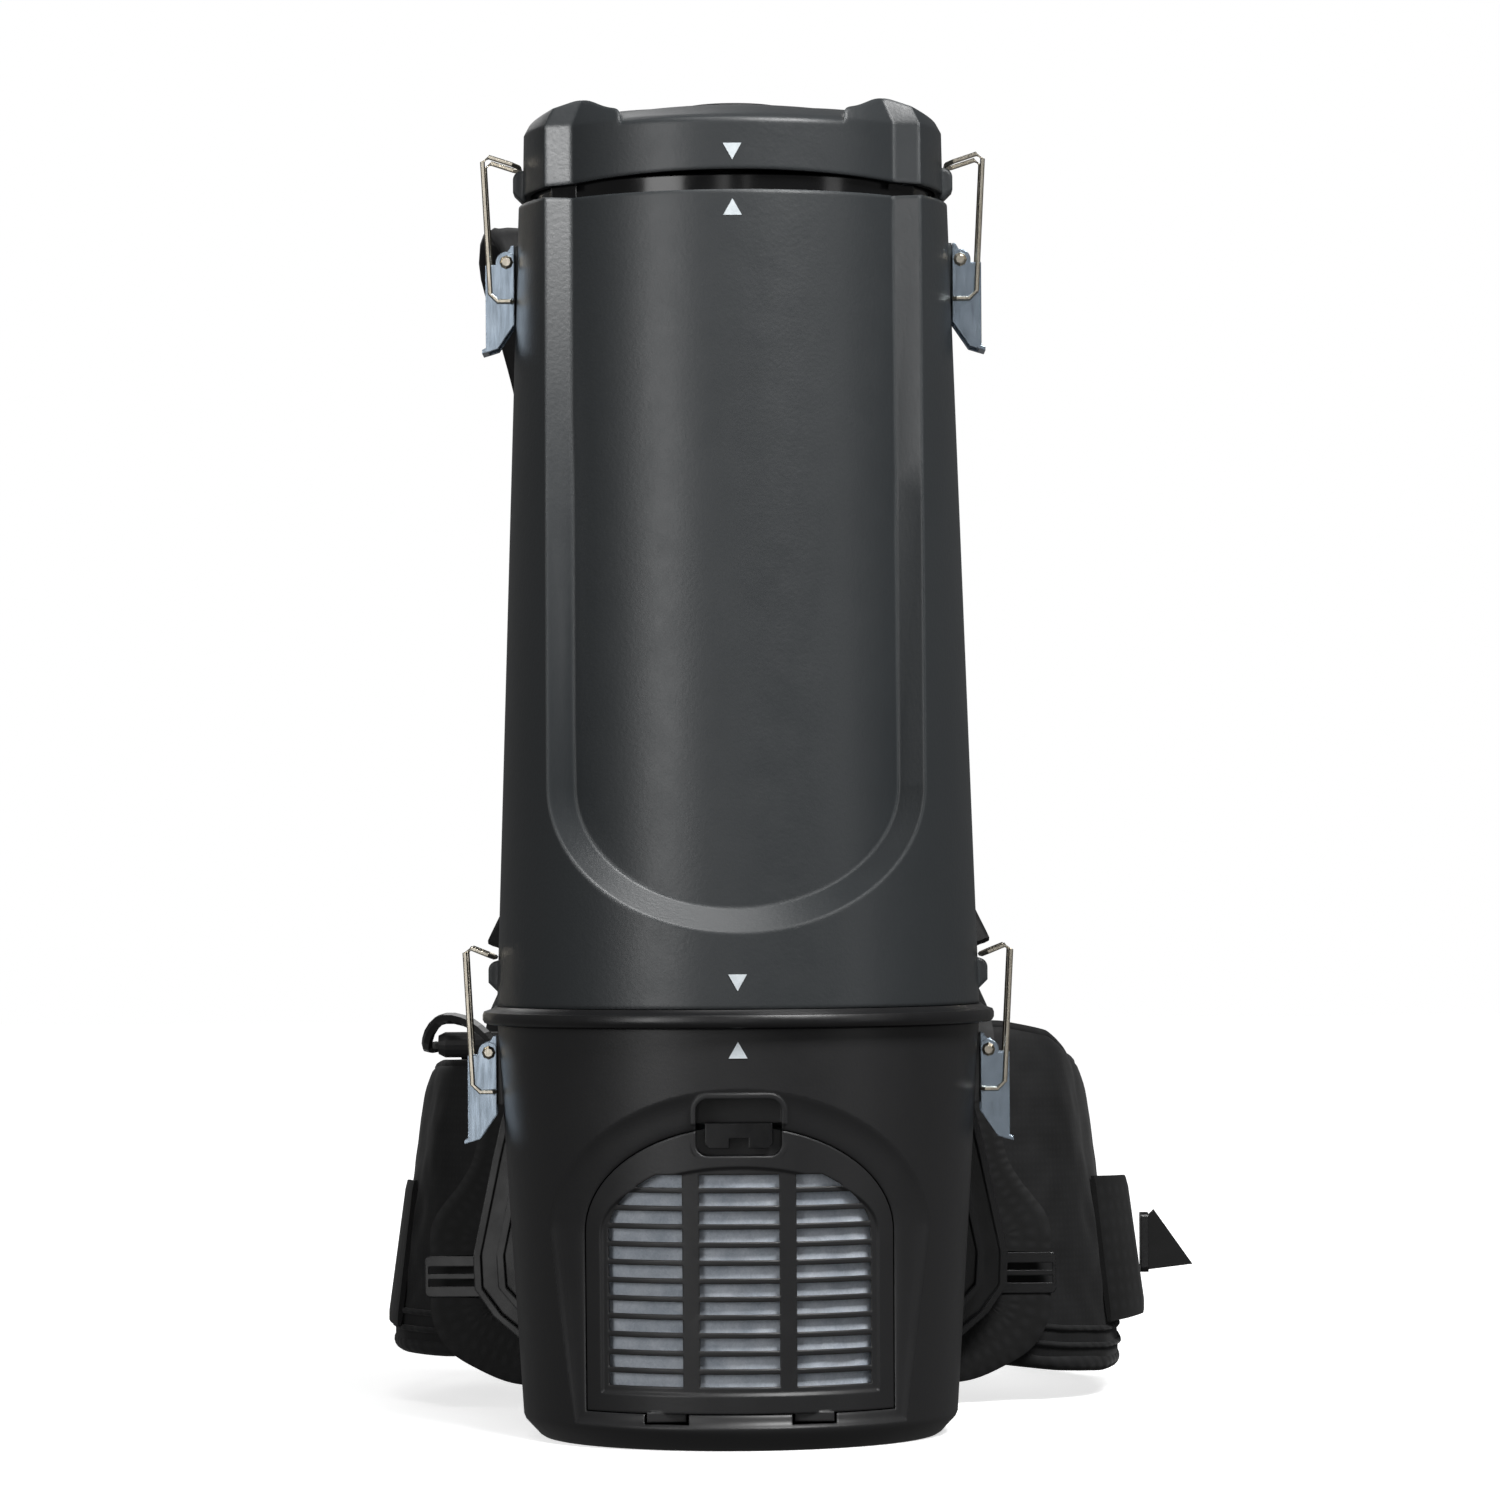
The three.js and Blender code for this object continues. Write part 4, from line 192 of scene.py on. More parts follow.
def skin(loops, uvs=None, capped=True):  # a skin over closed loops of equal length
    n = len(loops[0])
    points = [p for loop in loops for p in loop]
    faces = []
    for i in range(len(loops) - 1):
        for k in range(n):
            a, b = i * n + k, i * n + (k + 1) % n
            faces.append((a, b, b + n, a + n))
    if capped:
        faces += [tuple(range(n))[::-1], tuple(range(len(points) - n, len(points)))]
    return rawMesh(points, faces, uvs)


def turned(profile, steps):  # a profile of (radius, height) pairs turned round the upright axis
    n = len(profile)
    points, faces = [], []
    for i in range(steps):
        c, s = math.cos(2 * math.pi * i / steps), math.sin(2 * math.pi * i / steps)
        points += [(r * c, r * s, z) for r, z in profile]
        here, there = i * n, (i + 1) % steps * n
        for k in range(n):
            after = (k + 1) % n
            if profile[k][0] or profile[after][0]:  # an edge on the axis sweeps no face
                faces.append((here + k, here + after, there + after, there + k))
    return rawMesh(points, faces)


def cone(low, lowRadius, high, highRadius, steps):
    return turned([(0, low), (lowRadius, low), (highRadius, high), (0, high)], steps)


def slab(outline, near, far):  # an upright outline pushed through from one depth to another
    return skin([[(x, depth, z) for x, z in outline] for depth in (near, far)])


# a closed flat form: place(i, v, face) gives a point and its spot on the cloth
def sheet(rows, columns, place):
    loops, uvs = [], []
    for i in range(rows + 1):
        ring = [place(i, face * (1 - 2 * k / columns), face) for face in (1, -1) for k in range(columns + 1)]
        loops.append([point for point, spot in ring])
        uvs += [spot for point, spot in ring]
    return skin(loops, uvs)


def settle(piece):  # turns a piece's modifiers into its mesh
    evaluated = piece.evaluated_get(bpy.context.evaluated_depsgraph_get())
    mesh = bpy.data.meshes.new_from_object(evaluated)
    old = piece.data
    piece.modifiers.clear()
    piece.data = mesh
    bpy.data.meshes.remove(old)


def combine(way, piece, *others):
    for other in others:
        step = piece.modifiers.new(way, "BOOLEAN")
        step.operation = way
        step.solver = "MANIFOLD"
        step.object = other
        settle(piece)
        bpy.data.objects.remove(other)
    return piece


cut, join, common = (partial(combine, way) for way in ("DIFFERENCE", "UNION", "INTERSECT"))


def mirrored(piece):
    piece.data.transform(Matrix.Scale(-1, 4, (1, 0, 0)))
    piece.data.flip_normals()
    return piece


def bothSides(make):
    return [make(), mirrored(make())]


nearSurface = 0.08  # a face this close to a known surface belongs to it
snug, loose, looser = 0.98, 0.5, 0.3  # how well it has to face the surface's way, as a cosine


# faces on a known curved surface take its own normals, so that no facet shows
def trueNormals(mesh, surfaces):
    normals = [Vector(corner.vector) for corner in mesh.corner_normals]
    for face in mesh.polygons:
        spots = [mesh.vertices[i].co for i in face.vertices]
        for surface, least in surfaces:
            read = [surface(spot) for spot in spots]
            if max(abs(away) for away, facing in read) > nearSurface:
                continue
            if sum((facing for away, facing in read), Vector()).normalized().dot(face.normal) < least:
                continue
            for corner, (away, facing) in zip(face.loop_indices, read):
                normals[corner] = facing
            break
    mesh.normals_split_custom_set(normals)


def finishPiece(piece, name, finish, body, slot, *nodes, smooth=32, surfaces=()):
    piece.name = name
    piece.data.materials.clear()
    piece.data.materials.append(finishes[finish])
    piece.data.shade_smooth()
    if smooth < 180:
        piece.data.set_sharp_from_angle(angle=math.radians(smooth))
    if surfaces:
        trueNormals(piece.data, surfaces)
    piece.data.transform(Matrix.Scale(mm, 4))
    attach(piece, body)
    if nodes:
        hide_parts(*nodes)
    return piece


# Finishes

finishes = {}


def linear(hexColour):  # sRGB hex to the linear colour that shaders use
    parts = [int(hexColour[i:i + 2], 16) / 255 for i in (0, 2, 4)]
    return (*[c / 12.92 if c <= 0.04045 else ((c + 0.055) / 1.055) ** 2.4 for c in parts], 1)


def addNode(tree, kind, sockets=None, **settings):
    node = tree.nodes.new("ShaderNode" + kind)
    for name, value in settings.items():
        setattr(node, name, value)
    for socket, value in (sockets or {}).items():
        if isinstance(value, bpy.types.NodeSocket):
            tree.links.new(value, node.inputs[socket])
        else:
            node.inputs[socket].default_value = value
    return node


def mottle(tree, place, size, detail, **more):  # noise whose spots are about size mm across
    sockets = {"Vector": place, "Scale": 1 / (size * mm), "Detail": detail, **more}
    return addNode(tree, "TexNoise", sockets).outputs["Fac"]


def spread(tree, value, low, high, least, most):  # what lies from low to high comes out from least to most
    return addNode(tree, "MapRange", {0: value, 1: low, 2: high, 3: least, 4: most}).outputs[0]


def blend(tree, share, *colours):  # two colours, each in hex or from another node
    a, b = (linear(colour) if isinstance(colour, str) else colour for colour in colours)
    return addNode(tree, "Mix", {0: share, 6: a, 7: b}, data_type="RGBA").outputs[2]


def weighted(tree, value, share, other):
    return addNode(tree, "Math", {0: value, 1: share, 2: other}, operation="MULTIPLY_ADD").outputs[0]


def newFinish(name, look, sockets):
    material = bpy.data.materials.new(name)
    material.use_nodes = True
    finishes[name] = material
    tree = material.node_tree
    shader = tree.nodes["Principled BSDF"]
    shader.inputs["Base Color"].default_value = linear(look.colour)
    shader.inputs["Roughness"].default_value = look.roughness
    for socket, value in sockets.items():
        shader.inputs[socket].default_value = value
    return tree, shader, addNode(tree, "TexCoord").outputs


def relief(tree, shader, height, strength, deep, **normal):
    sockets = {"Height": height, "Strength": strength, "Distance": deep * mm, **normal}
    tree.links.new(addNode(tree, "Bump", sockets).outputs[0], shader.inputs["Normal"])


grain = Sizes(cloud=60, rub=14, rubFrom=0.3, rubTo=0.75, pit=0.08, edgeFrom=0.96, edgeFull=0.8)


def mouldedPlastic(name, **look):
    look = Sizes({"spread": 0.04, "ior": 1.54, "wear": 0.5} | look)
    tree, shader, coords = newFinish(name, look, {"IOR": look.ior})
    place = coords["Object"]
    rub = mottle(tree, place, grain.rub, 8, Roughness=0.7)
    cloud = mottle(tree, place, grain.cloud, 5)
    tone = blend(tree, cloud, look.shade, look.colour)
    flat = addNode(tree, "NewGeometry").outputs["Normal"]
    soft = addNode(tree, "Bevel", {"Radius": look.corner * mm}, samples=6).outputs[0]
    turn = addNode(tree, "VectorMath", {0: soft, 1: flat}, operation="DOT_PRODUCT").outputs["Value"]
    corner = spread(tree, turn, grain.edgeFrom, grain.edgeFull, 0, look.wear)
    tree.links.new(blend(tree, corner, tone, look.edge), shader.inputs["Base Color"])
    least, most = look.roughness - look.spread, look.roughness + look.spread
    polish = spread(tree, rub, grain.rubFrom, grain.rubTo, least, most)
    tree.links.new(polish, shader.inputs["Roughness"])
    relief(tree, shader, mottle(tree, place, look.grit, 2), look.relief, grain.pit, Normal=soft)


# charcoal ABS from a spark-eroded mould: an even satin grey with a fine grain, paler along its edges; the
# real grit is about 0.2 mm, drawn coarser to show
mouldedPlastic("mouldedCharcoalAbs", colour="2d3032", shade="272a2c", edge="3e4345", roughness=0.4,
               grit=1.7, relief=0.8, corner=2.4)
# black ABS of the base: the same grain with less light in it
mouldedPlastic("mouldedBlackAbs", colour="202021", shade="1b1b1c", edge="343536", roughness=0.42,
               grit=1.2, relief=0.4, corner=1.2)
# polypropylene inner parts: plainer and waxier
mouldedPlastic("polypropylene", colour="222223", shade="1b1b1c", edge="303031", roughness=0.5, ior=1.49,
               grit=1.1, relief=0.25, wear=0.3, corner=0.4)
# polished black ABS of the frame: sharp reflections with a faint ripple from the mould
mouldedPlastic("polishedBlackAbs", colour="0d0d0e", shade="09090a", edge="242526", roughness=0.16,
               spread=0.05, grit=9, relief=0.12, wear=0.35, corner=0.7)
# EPDM rubber: satin and slightly dusty
mouldedPlastic("epdmRubber", colour="161617", shade="111112", edge="262626", roughness=0.36, ior=1.52,
               spread=0.08, grit=0.8, relief=0.4, wear=0.4, corner=0.5)
# flexible PVC of the switch lead: smooth with a wet-looking highlight
mouldedPlastic("flexiblePvc", colour="151515", shade="101010", edge="222222", roughness=0.22, ior=1.53,
               spread=0.05, grit=3, relief=0.2, wear=0.1, corner=0.2)

scoring = Sizes(low=0.3, high=0.7, smoother=0.05, rougher=0.06, deep=0.02)


def drawnMetal(name, **look):
    look = Sizes(look)
    tree, shader, coords = newFinish(name, look, {"Metallic": 1.0})
    stretch = addNode(tree, "Mapping", {"Vector": coords["Object"], "Scale": look.stretch}).outputs[0]
    lines = mottle(tree, stretch, look.line, 4)
    tone = blend(tree, mottle(tree, coords["Object"], look.spangle, 3), look.shade, look.colour)
    tree.links.new(tone, shader.inputs["Base Color"])
    least, most = look.roughness - scoring.smoother, look.roughness + scoring.rougher
    polish = spread(tree, lines, scoring.low, scoring.high, least, most)
    tree.links.new(polish, shader.inputs["Roughness"])
    soft = addNode(tree, "Bevel", {"Radius": look.corner * mm}, samples=4).outputs[0]
    relief(tree, shader, lines, look.drawn, scoring.deep, Normal=soft)


# zinc-plated pressed steel with a blue passivate: cool and cloudy, bright where it faces a light
drawnMetal("bluePassivatedZinc", colour="bccad8", shade="9dacbb", roughness=0.2, stretch=(1, 1, 0.12),
           line=1.4, spangle=9, corner=0.6, drawn=0.06)
# nickel-plated spring wire: warm and bright, with lines along the draw
drawnMetal("nickelSpringWire", colour="ece5d6", shade="d6ccb9", roughness=0.2, stretch=(1, 1, 0.08),
           line=0.8, spangle=9, corner=0.1, drawn=0.05)
# bare motor steel: dull grey, scored round the can
drawnMetal("motorSteel", colour="9da0a3", shade="7c7f82", roughness=0.38, stretch=(0.15, 0.15, 1),
           line=0.8, spangle=12, corner=0.3, drawn=0.3)
# enamelled copper: wires side by side
drawnMetal("enamelledCopper", colour="b86a3c", shade="8c4a26", roughness=0.34, stretch=(0.1, 0.1, 1),
           line=0.9, spangle=6, corner=0.2, drawn=0.3)

wavePeriod = math.pi / 10  # of a wave texture at scale 1
cloth = Sizes(coarser=3.1838,  # threads are drawn this many times as wide as their pitch, so that they show
              rough=0.45, specular=0.35, lint=1.6, lintShare=0.35, bloomFrom=0.42, bloomTo=0.72)


def wovenCloth(name, **look):  # two crossed sets of threads, on coordinates that can be laid along the cloth
    look = Sizes(look)
    tree, shader, coords = newFinish(name, look, {
        "Sheen Weight": look.sheen, "Sheen Roughness": cloth.rough, "Specular IOR Level": cloth.specular})
    laid = coords["UV" if look.laid else "Object"]
    turn = {"Vector": laid, "Rotation": (0, 0, math.radians(look.turn))}
    place = addNode(tree, "Mapping", turn).outputs[0]
    threads = []
    for direction, pitch in zip("XY", look.pitch):
        wave = {"Vector": place, "Scale": wavePeriod / (pitch * cloth.coarser * mm),
                "Distortion": look.waver, "Detail": 1.0, "Detail Scale": 2.0}
        threads.append(addNode(tree, "TexWave", wave, bands_direction=direction).outputs["Fac"])
    weave = addNode(tree, "Math", {0: threads[0], 1: threads[1]}, operation="MULTIPLY").outputs[0]
    cloud = mottle(tree, coords["Object"], look.cloud, 6, Roughness=0.65)
    lint = mottle(tree, coords["Object"], cloth.lint, 4)
    tone = blend(tree, weave, look.shade, look.colour)
    dusty = spread(tree, cloud, cloth.bloomFrom, cloth.bloomTo, 0, look.fade)
    tree.links.new(blend(tree, dusty, tone, look.light), shader.inputs["Base Color"])
    height = weighted(tree, lint, cloth.lintShare, weave)
    relief(tree, shader, height, look.relief, look.deep)


# coated nylon pack cloth: a fine plain weave, black with a dusty bloom in patches
wovenCloth("nylonPackCloth", colour="101011", shade="09090a", light="1b1c1d", fade=0.5, roughness=0.72,
           sheen=0.08, pitch=(1.0, 1.0), turn=0, waver=0.2, cloud=28, relief=0.3, deep=0.06, laid=True)
# cotton twill binding of the hems: slanted ribs
wovenCloth("twillBinding", colour="161617", shade="0a0a0b", light="2a2b2c", fade=0.4, roughness=0.8,
           sheen=0.08, pitch=(1.7, 40), turn=35, waver=0.3, cloud=18, relief=0.5, deep=0.4, laid=True)
# polyester webbing: ribs along the strap and a cross rib from the weft
wovenCloth("polyesterWebbing", colour="131314", shade="080808", light="1d1e1f", fade=0.35, roughness=0.62,
           sheen=0.05, pitch=(2.3, 1.5), turn=0, waver=0.15, cloud=22, relief=0.5, deep=0.16, laid=True)
# air-mesh padding cloth: a slanted open net, not laid along the pad
wovenCloth("spacerMesh", colour="1c1d1e", shade="0b0b0c", light="2a2b2d", fade=0.4, roughness=0.85,
           sheen=0.1, pitch=(2.2, 2.2), turn=45, waver=0.3, cloud=24, relief=0.8, deep=0.4, laid=False)

fibres = Sizes(sheen=0.2, twist=1.2, hairShare=0.6, low=0.5, high=1.1, relief=0.6)


def fibreSheet(name, **look):
    look = Sizes(look)
    tree, shader, coords = newFinish(name, look, {"Sheen Weight": fibres.sheen})
    hair = mottle(tree, coords["Object"], look.fibre, 8, Distortion=fibres.twist)
    cloud = mottle(tree, coords["Object"], look.cloud, 4)
    # darker where the fibre relief sinks: painted shade in the hollows, over random clouds of tone
    level = spread(tree, weighted(tree, hair, fibres.hairShare, cloud), fibres.low, fibres.high, 0, 1)
    tone = blend(tree, level, look.shade, look.colour)
    tree.links.new(tone, shader.inputs["Base Color"])
    relief(tree, shader, hair, fibres.relief, look.deep)
    return tree, shader, coords


# needled polyester filter felt: cold white, with painted shade greying its hollows
fibreSheet("needledFilterFelt", colour="d4dae2", shade="a3adb9", roughness=0.95, fibre=1.5, cloud=11,
           deep=0.3)
# creped bag paper: buff with long fibres
fibreSheet("crepedBagPaper", colour="d2c4a3", shade="b5a582", roughness=0.9, fibre=1.8, cloud=20, deep=0.2)
# open-cell foam of the motor filter: dark with small pores
fibreSheet("openCellFoam", colour="4a4d50", shade="232527", roughness=1, fibre=1.3, cloud=5, deep=0.8)
# pad-printed white ink of the alignment marks: chalky with thin spots
fibreSheet("padPrintedInk", colour="d3dade", shade="bcc4c8", roughness=0.55, fibre=0.9, cloud=3, deep=0.02)
print("finishes made")

# Studio floor, a sheet of white paper that glows a little less near the machine than far off

paper = Sizes(half=7000, near=500, far=2000, dim=0.72, room=0.12)
tree, shader, coords = fibreSheet("paperSweep", colour="fafafa", shade="f6f6f6", roughness=0.9, fibre=30,
                                  cloud=300, deep=0.01)
away = addNode(tree, "VectorMath", {0: coords["Object"]}, operation="LENGTH").outputs["Value"]
fade = spread(tree, away, paper.near * mm, paper.far * mm, paper.dim, 1)
tree.links.new(fade, shader.inputs["Emission Strength"])
shader.inputs["Emission Color"].default_value = (1, 1, 1, 1)
corners = [(x, y, 0) for x, y in box(-paper.half, -paper.half, paper.half, paper.half)]
backdrop = rawMesh(corners, [(0, 1, 2, 3)])
backdrop.name = "studioFloor"
backdrop.data.transform(Matrix.Scale(mm, 4))
backdrop.data.materials.append(finishes["paperSweep"])
backdrop.visible_glossy = False  # the set around the real one was dark, so its paper lights nothing here
backdrop.visible_diffuse = False
world = bpy.data.worlds.new("softRoom")
bpy.context.scene.world = world
world.use_nodes = True
room = world.node_tree.nodes["Background"]
room.inputs["Color"].default_value = (1, 1, 1, 1)
seen = addNode(world.node_tree, "LightPath").outputs["Is Camera Ray"]
world.node_tree.links.new(spread(world.node_tree, seen, 0, 1, paper.room, 1), room.inputs["Strength"])

# Canister outlines, the same sizes as the solid model

can = Sizes(steps=144, baseSteps=180, wall=3, footRadius=84.5, footHeight=8, baseLow=91, baseTop=101,
            baseHeight=172, floor=4, chamberLow=101.2, chamberTop=89.9, foot=180, top=514, flatOuter=77.5,
            flatInner=66.5, panel=91, panelBack=20.1, archSpring=270.5, archOuterFoot=210.8,
            archInnerFoot=220.4, bite=3, past=8)  # past: how far a cutter runs beyond what it cuts
taper = (can.chamberLow - can.chamberTop) / (can.top - can.foot)
baseLean = (can.baseTop - can.baseLow) / (can.baseHeight - can.footHeight)


def baseRadius(z):
    return can.baseLow + (z - can.footHeight) * baseLean


def chamberRadius(z):
    return can.chamberTop + (can.top - z) * taper


def panelCentre(z):  # the panel is an arc round a centre that moves forward as the chamber widens
    return can.panelBack - (can.top - z) * taper


def panelFront(x, z, inset=0):
    return panelCentre(z) - math.sqrt((can.panel - inset) ** 2 - x * x)


def flatEnds(radius, inset):  # where the flat beside the panel meets the outer wall and the panel
    outer = Vector((can.flatOuter, -math.sqrt(radius ** 2 - can.flatOuter ** 2)))
    inner = Vector((can.flatInner, panelFront(can.flatInner, can.top)))
    run = (inner - outer).normalized()
    start = outer + Vector((run.y, -run.x)) * inset
    ends = []
    for centre, r in ((0, radius - inset), (can.panelBack, can.panel - inset)):
        away = start - Vector((0, centre))
        half = away.dot(run)
        ends.append(start + run * (-half - math.sqrt(half ** 2 - away.length_squared + r ** 2)))
    return ends


def planRing(z, radius, inset=0, share=1, back=110, front=36):  # the plan of lid and seal at one height
    outer, inner = flatEnds(radius, inset)
    start = math.atan2(outer.y, outer.x)
    plan = arc(radius - inset, radius - inset, start, math.pi - start, back)
    for i in range(front + 1):
        x = lerp(-inner.x, inner.x, i / front)
        plan.append((x, panelFront(x, can.top, inset)))
    return [(x * share, y * share, z) for x, y in plan]


# Surfaces for trueNormals: each gives how far off it a point lies, and which way it faces there

flats = Sizes(tilt=0.64, forward=(0.26, -0.94, 0.2), slack=0.2, bandSlack=0.004)


def onCone(p, radius, lean=0, centre=0):
    across = Vector((p.x, p.y - centre, 0))
    return across.length - radius, (across.normalized() + Vector((0, 0, lean))).normalized()


def onChamber(p):
    return onCone(p, chamberRadius(p.z), taper)


def onPanel(p):
    across = Vector((p.x, p.y - panelCentre(p.z), 0))
    return across.length - can.panel, (across + Vector((0, 0, -across.y * taper))).normalized()


def onBase(p, back=0):
    return onCone(p, baseRadius(p.z) - back, -baseLean)


def flatFacing(side, up):  # the flats face forward, and in towards the panel
    tilt = flats.tilt
    return Vector((-side * tilt, -math.sqrt(1 - tilt * tilt), up * tilt))


def onStrip(p):  # the upright flats beside the panel, facing further forward towards the top
    side, wide = (1 if p.x > 0 else -1), abs(p.x)
    rise = p.z - can.archSpring
    off = max(can.flatInner - wide - flats.slack, wide - can.flatOuter - flats.slack, -rise, 0)
    high = min(1, max(0, rise / (can.top - can.archSpring)))
    x, y, z = flats.forward
    return off, flatFacing(side, 0).lerp(Vector((-side * x, y, z)), high).normalized()


def onBand(p):  # the curved foot of the same flats; shares of its ellipses count as lengths of 100
    rise = p.z - can.archSpring
    outerDrop, innerDrop = (can.archSpring - can[foot] for foot in ("archOuterFoot", "archInnerFoot"))
    beyond = math.hypot(p.x / can.flatOuter, rise / outerDrop) - 1 - flats.bandSlack
    within = 1 - flats.bandSlack - math.hypot(p.x / can.flatInner, rise / innerDrop)
    away = Vector((p.x / can.flatOuter, rise / outerDrop)).normalized()
    return max(beyond * 100, within * 100, rise - flats.slack, 0), flatFacing(away.x, -away.y)


def onLidSide(p):
    share = (p.z - lid.foot) / (lid.edge - lid.foot)
    return onCone(p, lid.radius - lid.lean * share)


def onLidStrip(p):
    off, facing = onStrip(p)
    return max(off, p.z - lid.edge - flats.slack / 2), facing


def onLidFront(p):
    return onCone(p, can.panel, centre=can.panelBack)


# Latch pads and the lugs that the bails hook on

lugSizes = Sizes(root=1.6, proud=3.9, height=13, half=8.5, steps=8)
latch = Sizes(rivetX=dict(upper=94.93, lower=104.54), rivetZ=dict(upper=491, lower=160.4), back=3.2, gap=0.3,
              pad=2.5, foot=22, head=7, half=8.2, hook=39.8, wire=1, seat=0.45)


def lugTop(level):
    return latch.rivetZ[level] + latch.hook - latch.wire - latch.seat


def lug(wallX, level):
    top, proud, root = lugTop(level), lugSizes.proud, wallX - lugSizes.root
    foot = top - lugSizes.height
    line = [(root, foot), (wallX, foot), (wallX + proud, foot + proud)]
    line += arc(proud, proud, 0, math.pi / 2, lugSizes.steps, (wallX, top - proud))
    return slab(line + [(root, top)], -lugSizes.half, lugSizes.half)


def latchPad(level):
    x, z = latch.rivetX[level], latch.rivetZ[level]
    face = x - latch.back - latch.gap
    line = box(face - latch.pad, z - latch.foot, face, z + latch.head)
    return slab(line, -latch.half, latch.half)


# Bag chamber

spigot = Sizes(inner=94.2, outer=97.2, seat=99.7, deep=12, high=4)


def archLine(half, foot, top, steps=48):  # a U with its legs up to the top
    spring = can.archSpring
    middle = lerp(spring, top, 0.5)
    bend = arc(half, spring - foot, math.pi, 2 * math.pi, steps, (0, spring))
    return [(-half, top), (-half, middle)] + bend + [(half, middle), (half, top)]


def panelCut(inset):
    outerEnd, innerEnd = flatEnds(can.chamberTop, inset)
    high = can.top + can.past
    outer = archLine(outerEnd.x, can.archOuterFoot - inset, high)
    inner = archLine(innerEnd.x, can.archInnerFoot - inset, high)
    far = [Vector((x, -can.chamberLow - can.past, z)) for x, z in outer]
    edge = [Vector((x, -math.sqrt((chamberRadius(z) - inset) ** 2 - x * x), z)) for x, z in outer]
    root = []
    for (x, z), rim in zip(inner, edge):
        seat = Vector((x, panelFront(x, z, inset), z))
        root.append(seat + (seat - rim).normalized() * can.bite)
    bow, wide = [], can.panel - inset
    for z in (can.archOuterFoot - 2 * can.past, high + can.past):
        whole = arc(wide, wide, 0, 2 * math.pi, can.steps, (0, panelCentre(z)))
        bow.append([(x, y, z) for x, y in whole[:-1]])
    return cut(skin([far, edge, root]), skin(bow))


def bagChamber():
    steps, wall, foot, top = can.steps, can.wall, can.foot, can.top
    low, high = foot - can.past, top + can.past
    bore = cone(low, chamberRadius(low) - wall, high, chamberRadius(high) - wall, steps)
    shell = cut(cone(foot, can.chamberLow, top, can.chamberTop, steps), panelCut(0))
    cut(shell, cut(bore, panelCut(wall)))
    inner, outer, seat = spigot.inner, spigot.outer, spigot.seat
    end, shoulder = foot - spigot.deep, foot + spigot.high
    below = turned([(inner, end), (outer, end), (outer, foot), (seat, foot), (seat, shoulder),
                    (inner, shoulder)], steps)
    wallX = chamberRadius(lugTop("lower"))
    return join(shell, below, *bothSides(lambda: lug(wallX, "lower")), *bothSides(lambda: latchPad("upper")))


finishPiece(bagChamber(), "bagChamberShell", "mouldedCharcoalAbs", "chamber", "charcoal_plastic",
            "bag_chamber", surfaces=((onPanel, snug), (onChamber, snug), (onStrip, loose), (onBand, looser)))
print("bag chamber made")

# Lid

lid = Sizes(foot=518.6, radius=88.1, edge=544, top=555, arch=3.8, archHalf=80, wall=3, lean=0.5,
            edgeRound=2.2, domePower=2.5, domeSteps=22, domeEnd=0.1, wellFront=-120, wellBack=-38.75,
            bore=21.8, boreFoot=536, boreTop=563, boreSteps=64, edgeSteps=5, archSteps=40)
ridge = Sizes(inner=46, outer=94, line=[(94, 543.5), (86, 547.5), (61.5, 555.6), (52, 550.4), (46, 549)],
              top=563.6, inset=0.88, round=5, reach=110)
lidTop = lid.radius - lid.lean  # the lid's radius at its edge


def lidDome(inset=0):  # rings from the lid's edge to near its middle
    loops = []
    for i in range(lid.domeSteps + 1):
        share = lerp(1, lid.domeEnd, i / lid.domeSteps)
        height = lerp(lid.edge, lid.top, 1 - share ** lid.domePower)
        loops.append(planRing(height - inset, lidTop, inset, share))
    if inset == 0:
        turn = lid.edgeRound
        rounding = arc(turn, turn, 0, math.pi / 2, lid.edgeSteps)[:-1]
        loops[:1] = [planRing(lid.edge - turn + z, lidTop, 0, 1 - (turn - r) / lidTop) for r, z in rounding]
    return loops


def lidShoulder():
    foot = lid.foot
    line = roundedLine([(ridge.inner, foot), (ridge.outer, foot)] + ridge.line, ridge.round)
    block = [planRing(foot, lid.radius), planRing(lid.edge, lidTop),
             planRing(ridge.top, lidTop, 0, ridge.inset)]
    return common(slab(line, -ridge.reach, ridge.reach), skin(block))


def lidShell():
    foot, half = lid.foot, lid.archHalf
    below = foot - can.past
    shell = skin([planRing(foot, lid.radius)] + lidDome())
    hollow = skin([planRing(below, lid.radius, lid.wall)] + lidDome(lid.wall))
    well = [(-half, below), (half, below)]
    for x, z in straight((half, foot), (-half, foot), lid.archSteps) + [(-half, foot)]:
        well.append((x, z + lid.arch * (1 - (x / half) ** 2)))
    join(shell, *bothSides(lidShoulder))
    cut(shell, hollow, slab(well, lid.wellFront, lid.wellBack),
        cone(lid.boreFoot, lid.bore, lid.boreTop, lid.bore, lid.boreSteps))
    return join(shell, *bothSides(lambda: lug(lid.radius, "upper")))


finishPiece(lidShell(), "lidShell", "mouldedCharcoalAbs", "lid_section", "charcoal_plastic", "lid",
            surfaces=((onLidFront, snug), (onLidSide, snug), (onLidStrip, loose)))

inlet = Sizes(bore=19, outer=21.5, top=555.6, foot=507.6, flange=27, flangeFoot=546.6, flangeTop=549.6,
              edge=0.6, steps=72)


def hoseInlet():
    bore, outer, top, edge = inlet.bore, inlet.outer, inlet.top, inlet.edge
    return turned([(bore, inlet.foot), (outer, inlet.foot), (outer, inlet.flangeFoot),
                   (inlet.flange, inlet.flangeFoot), (inlet.flange, inlet.flangeTop),
                   (outer, inlet.flangeTop), (outer, top - edge), (outer - edge, top),
                   (bore + edge, top), (bore, top - edge)], inlet.steps)


finishPiece(hoseInlet(), "hoseInletSleeve", "polypropylene", "lid_section", "black_plastic", "hose_inlet")

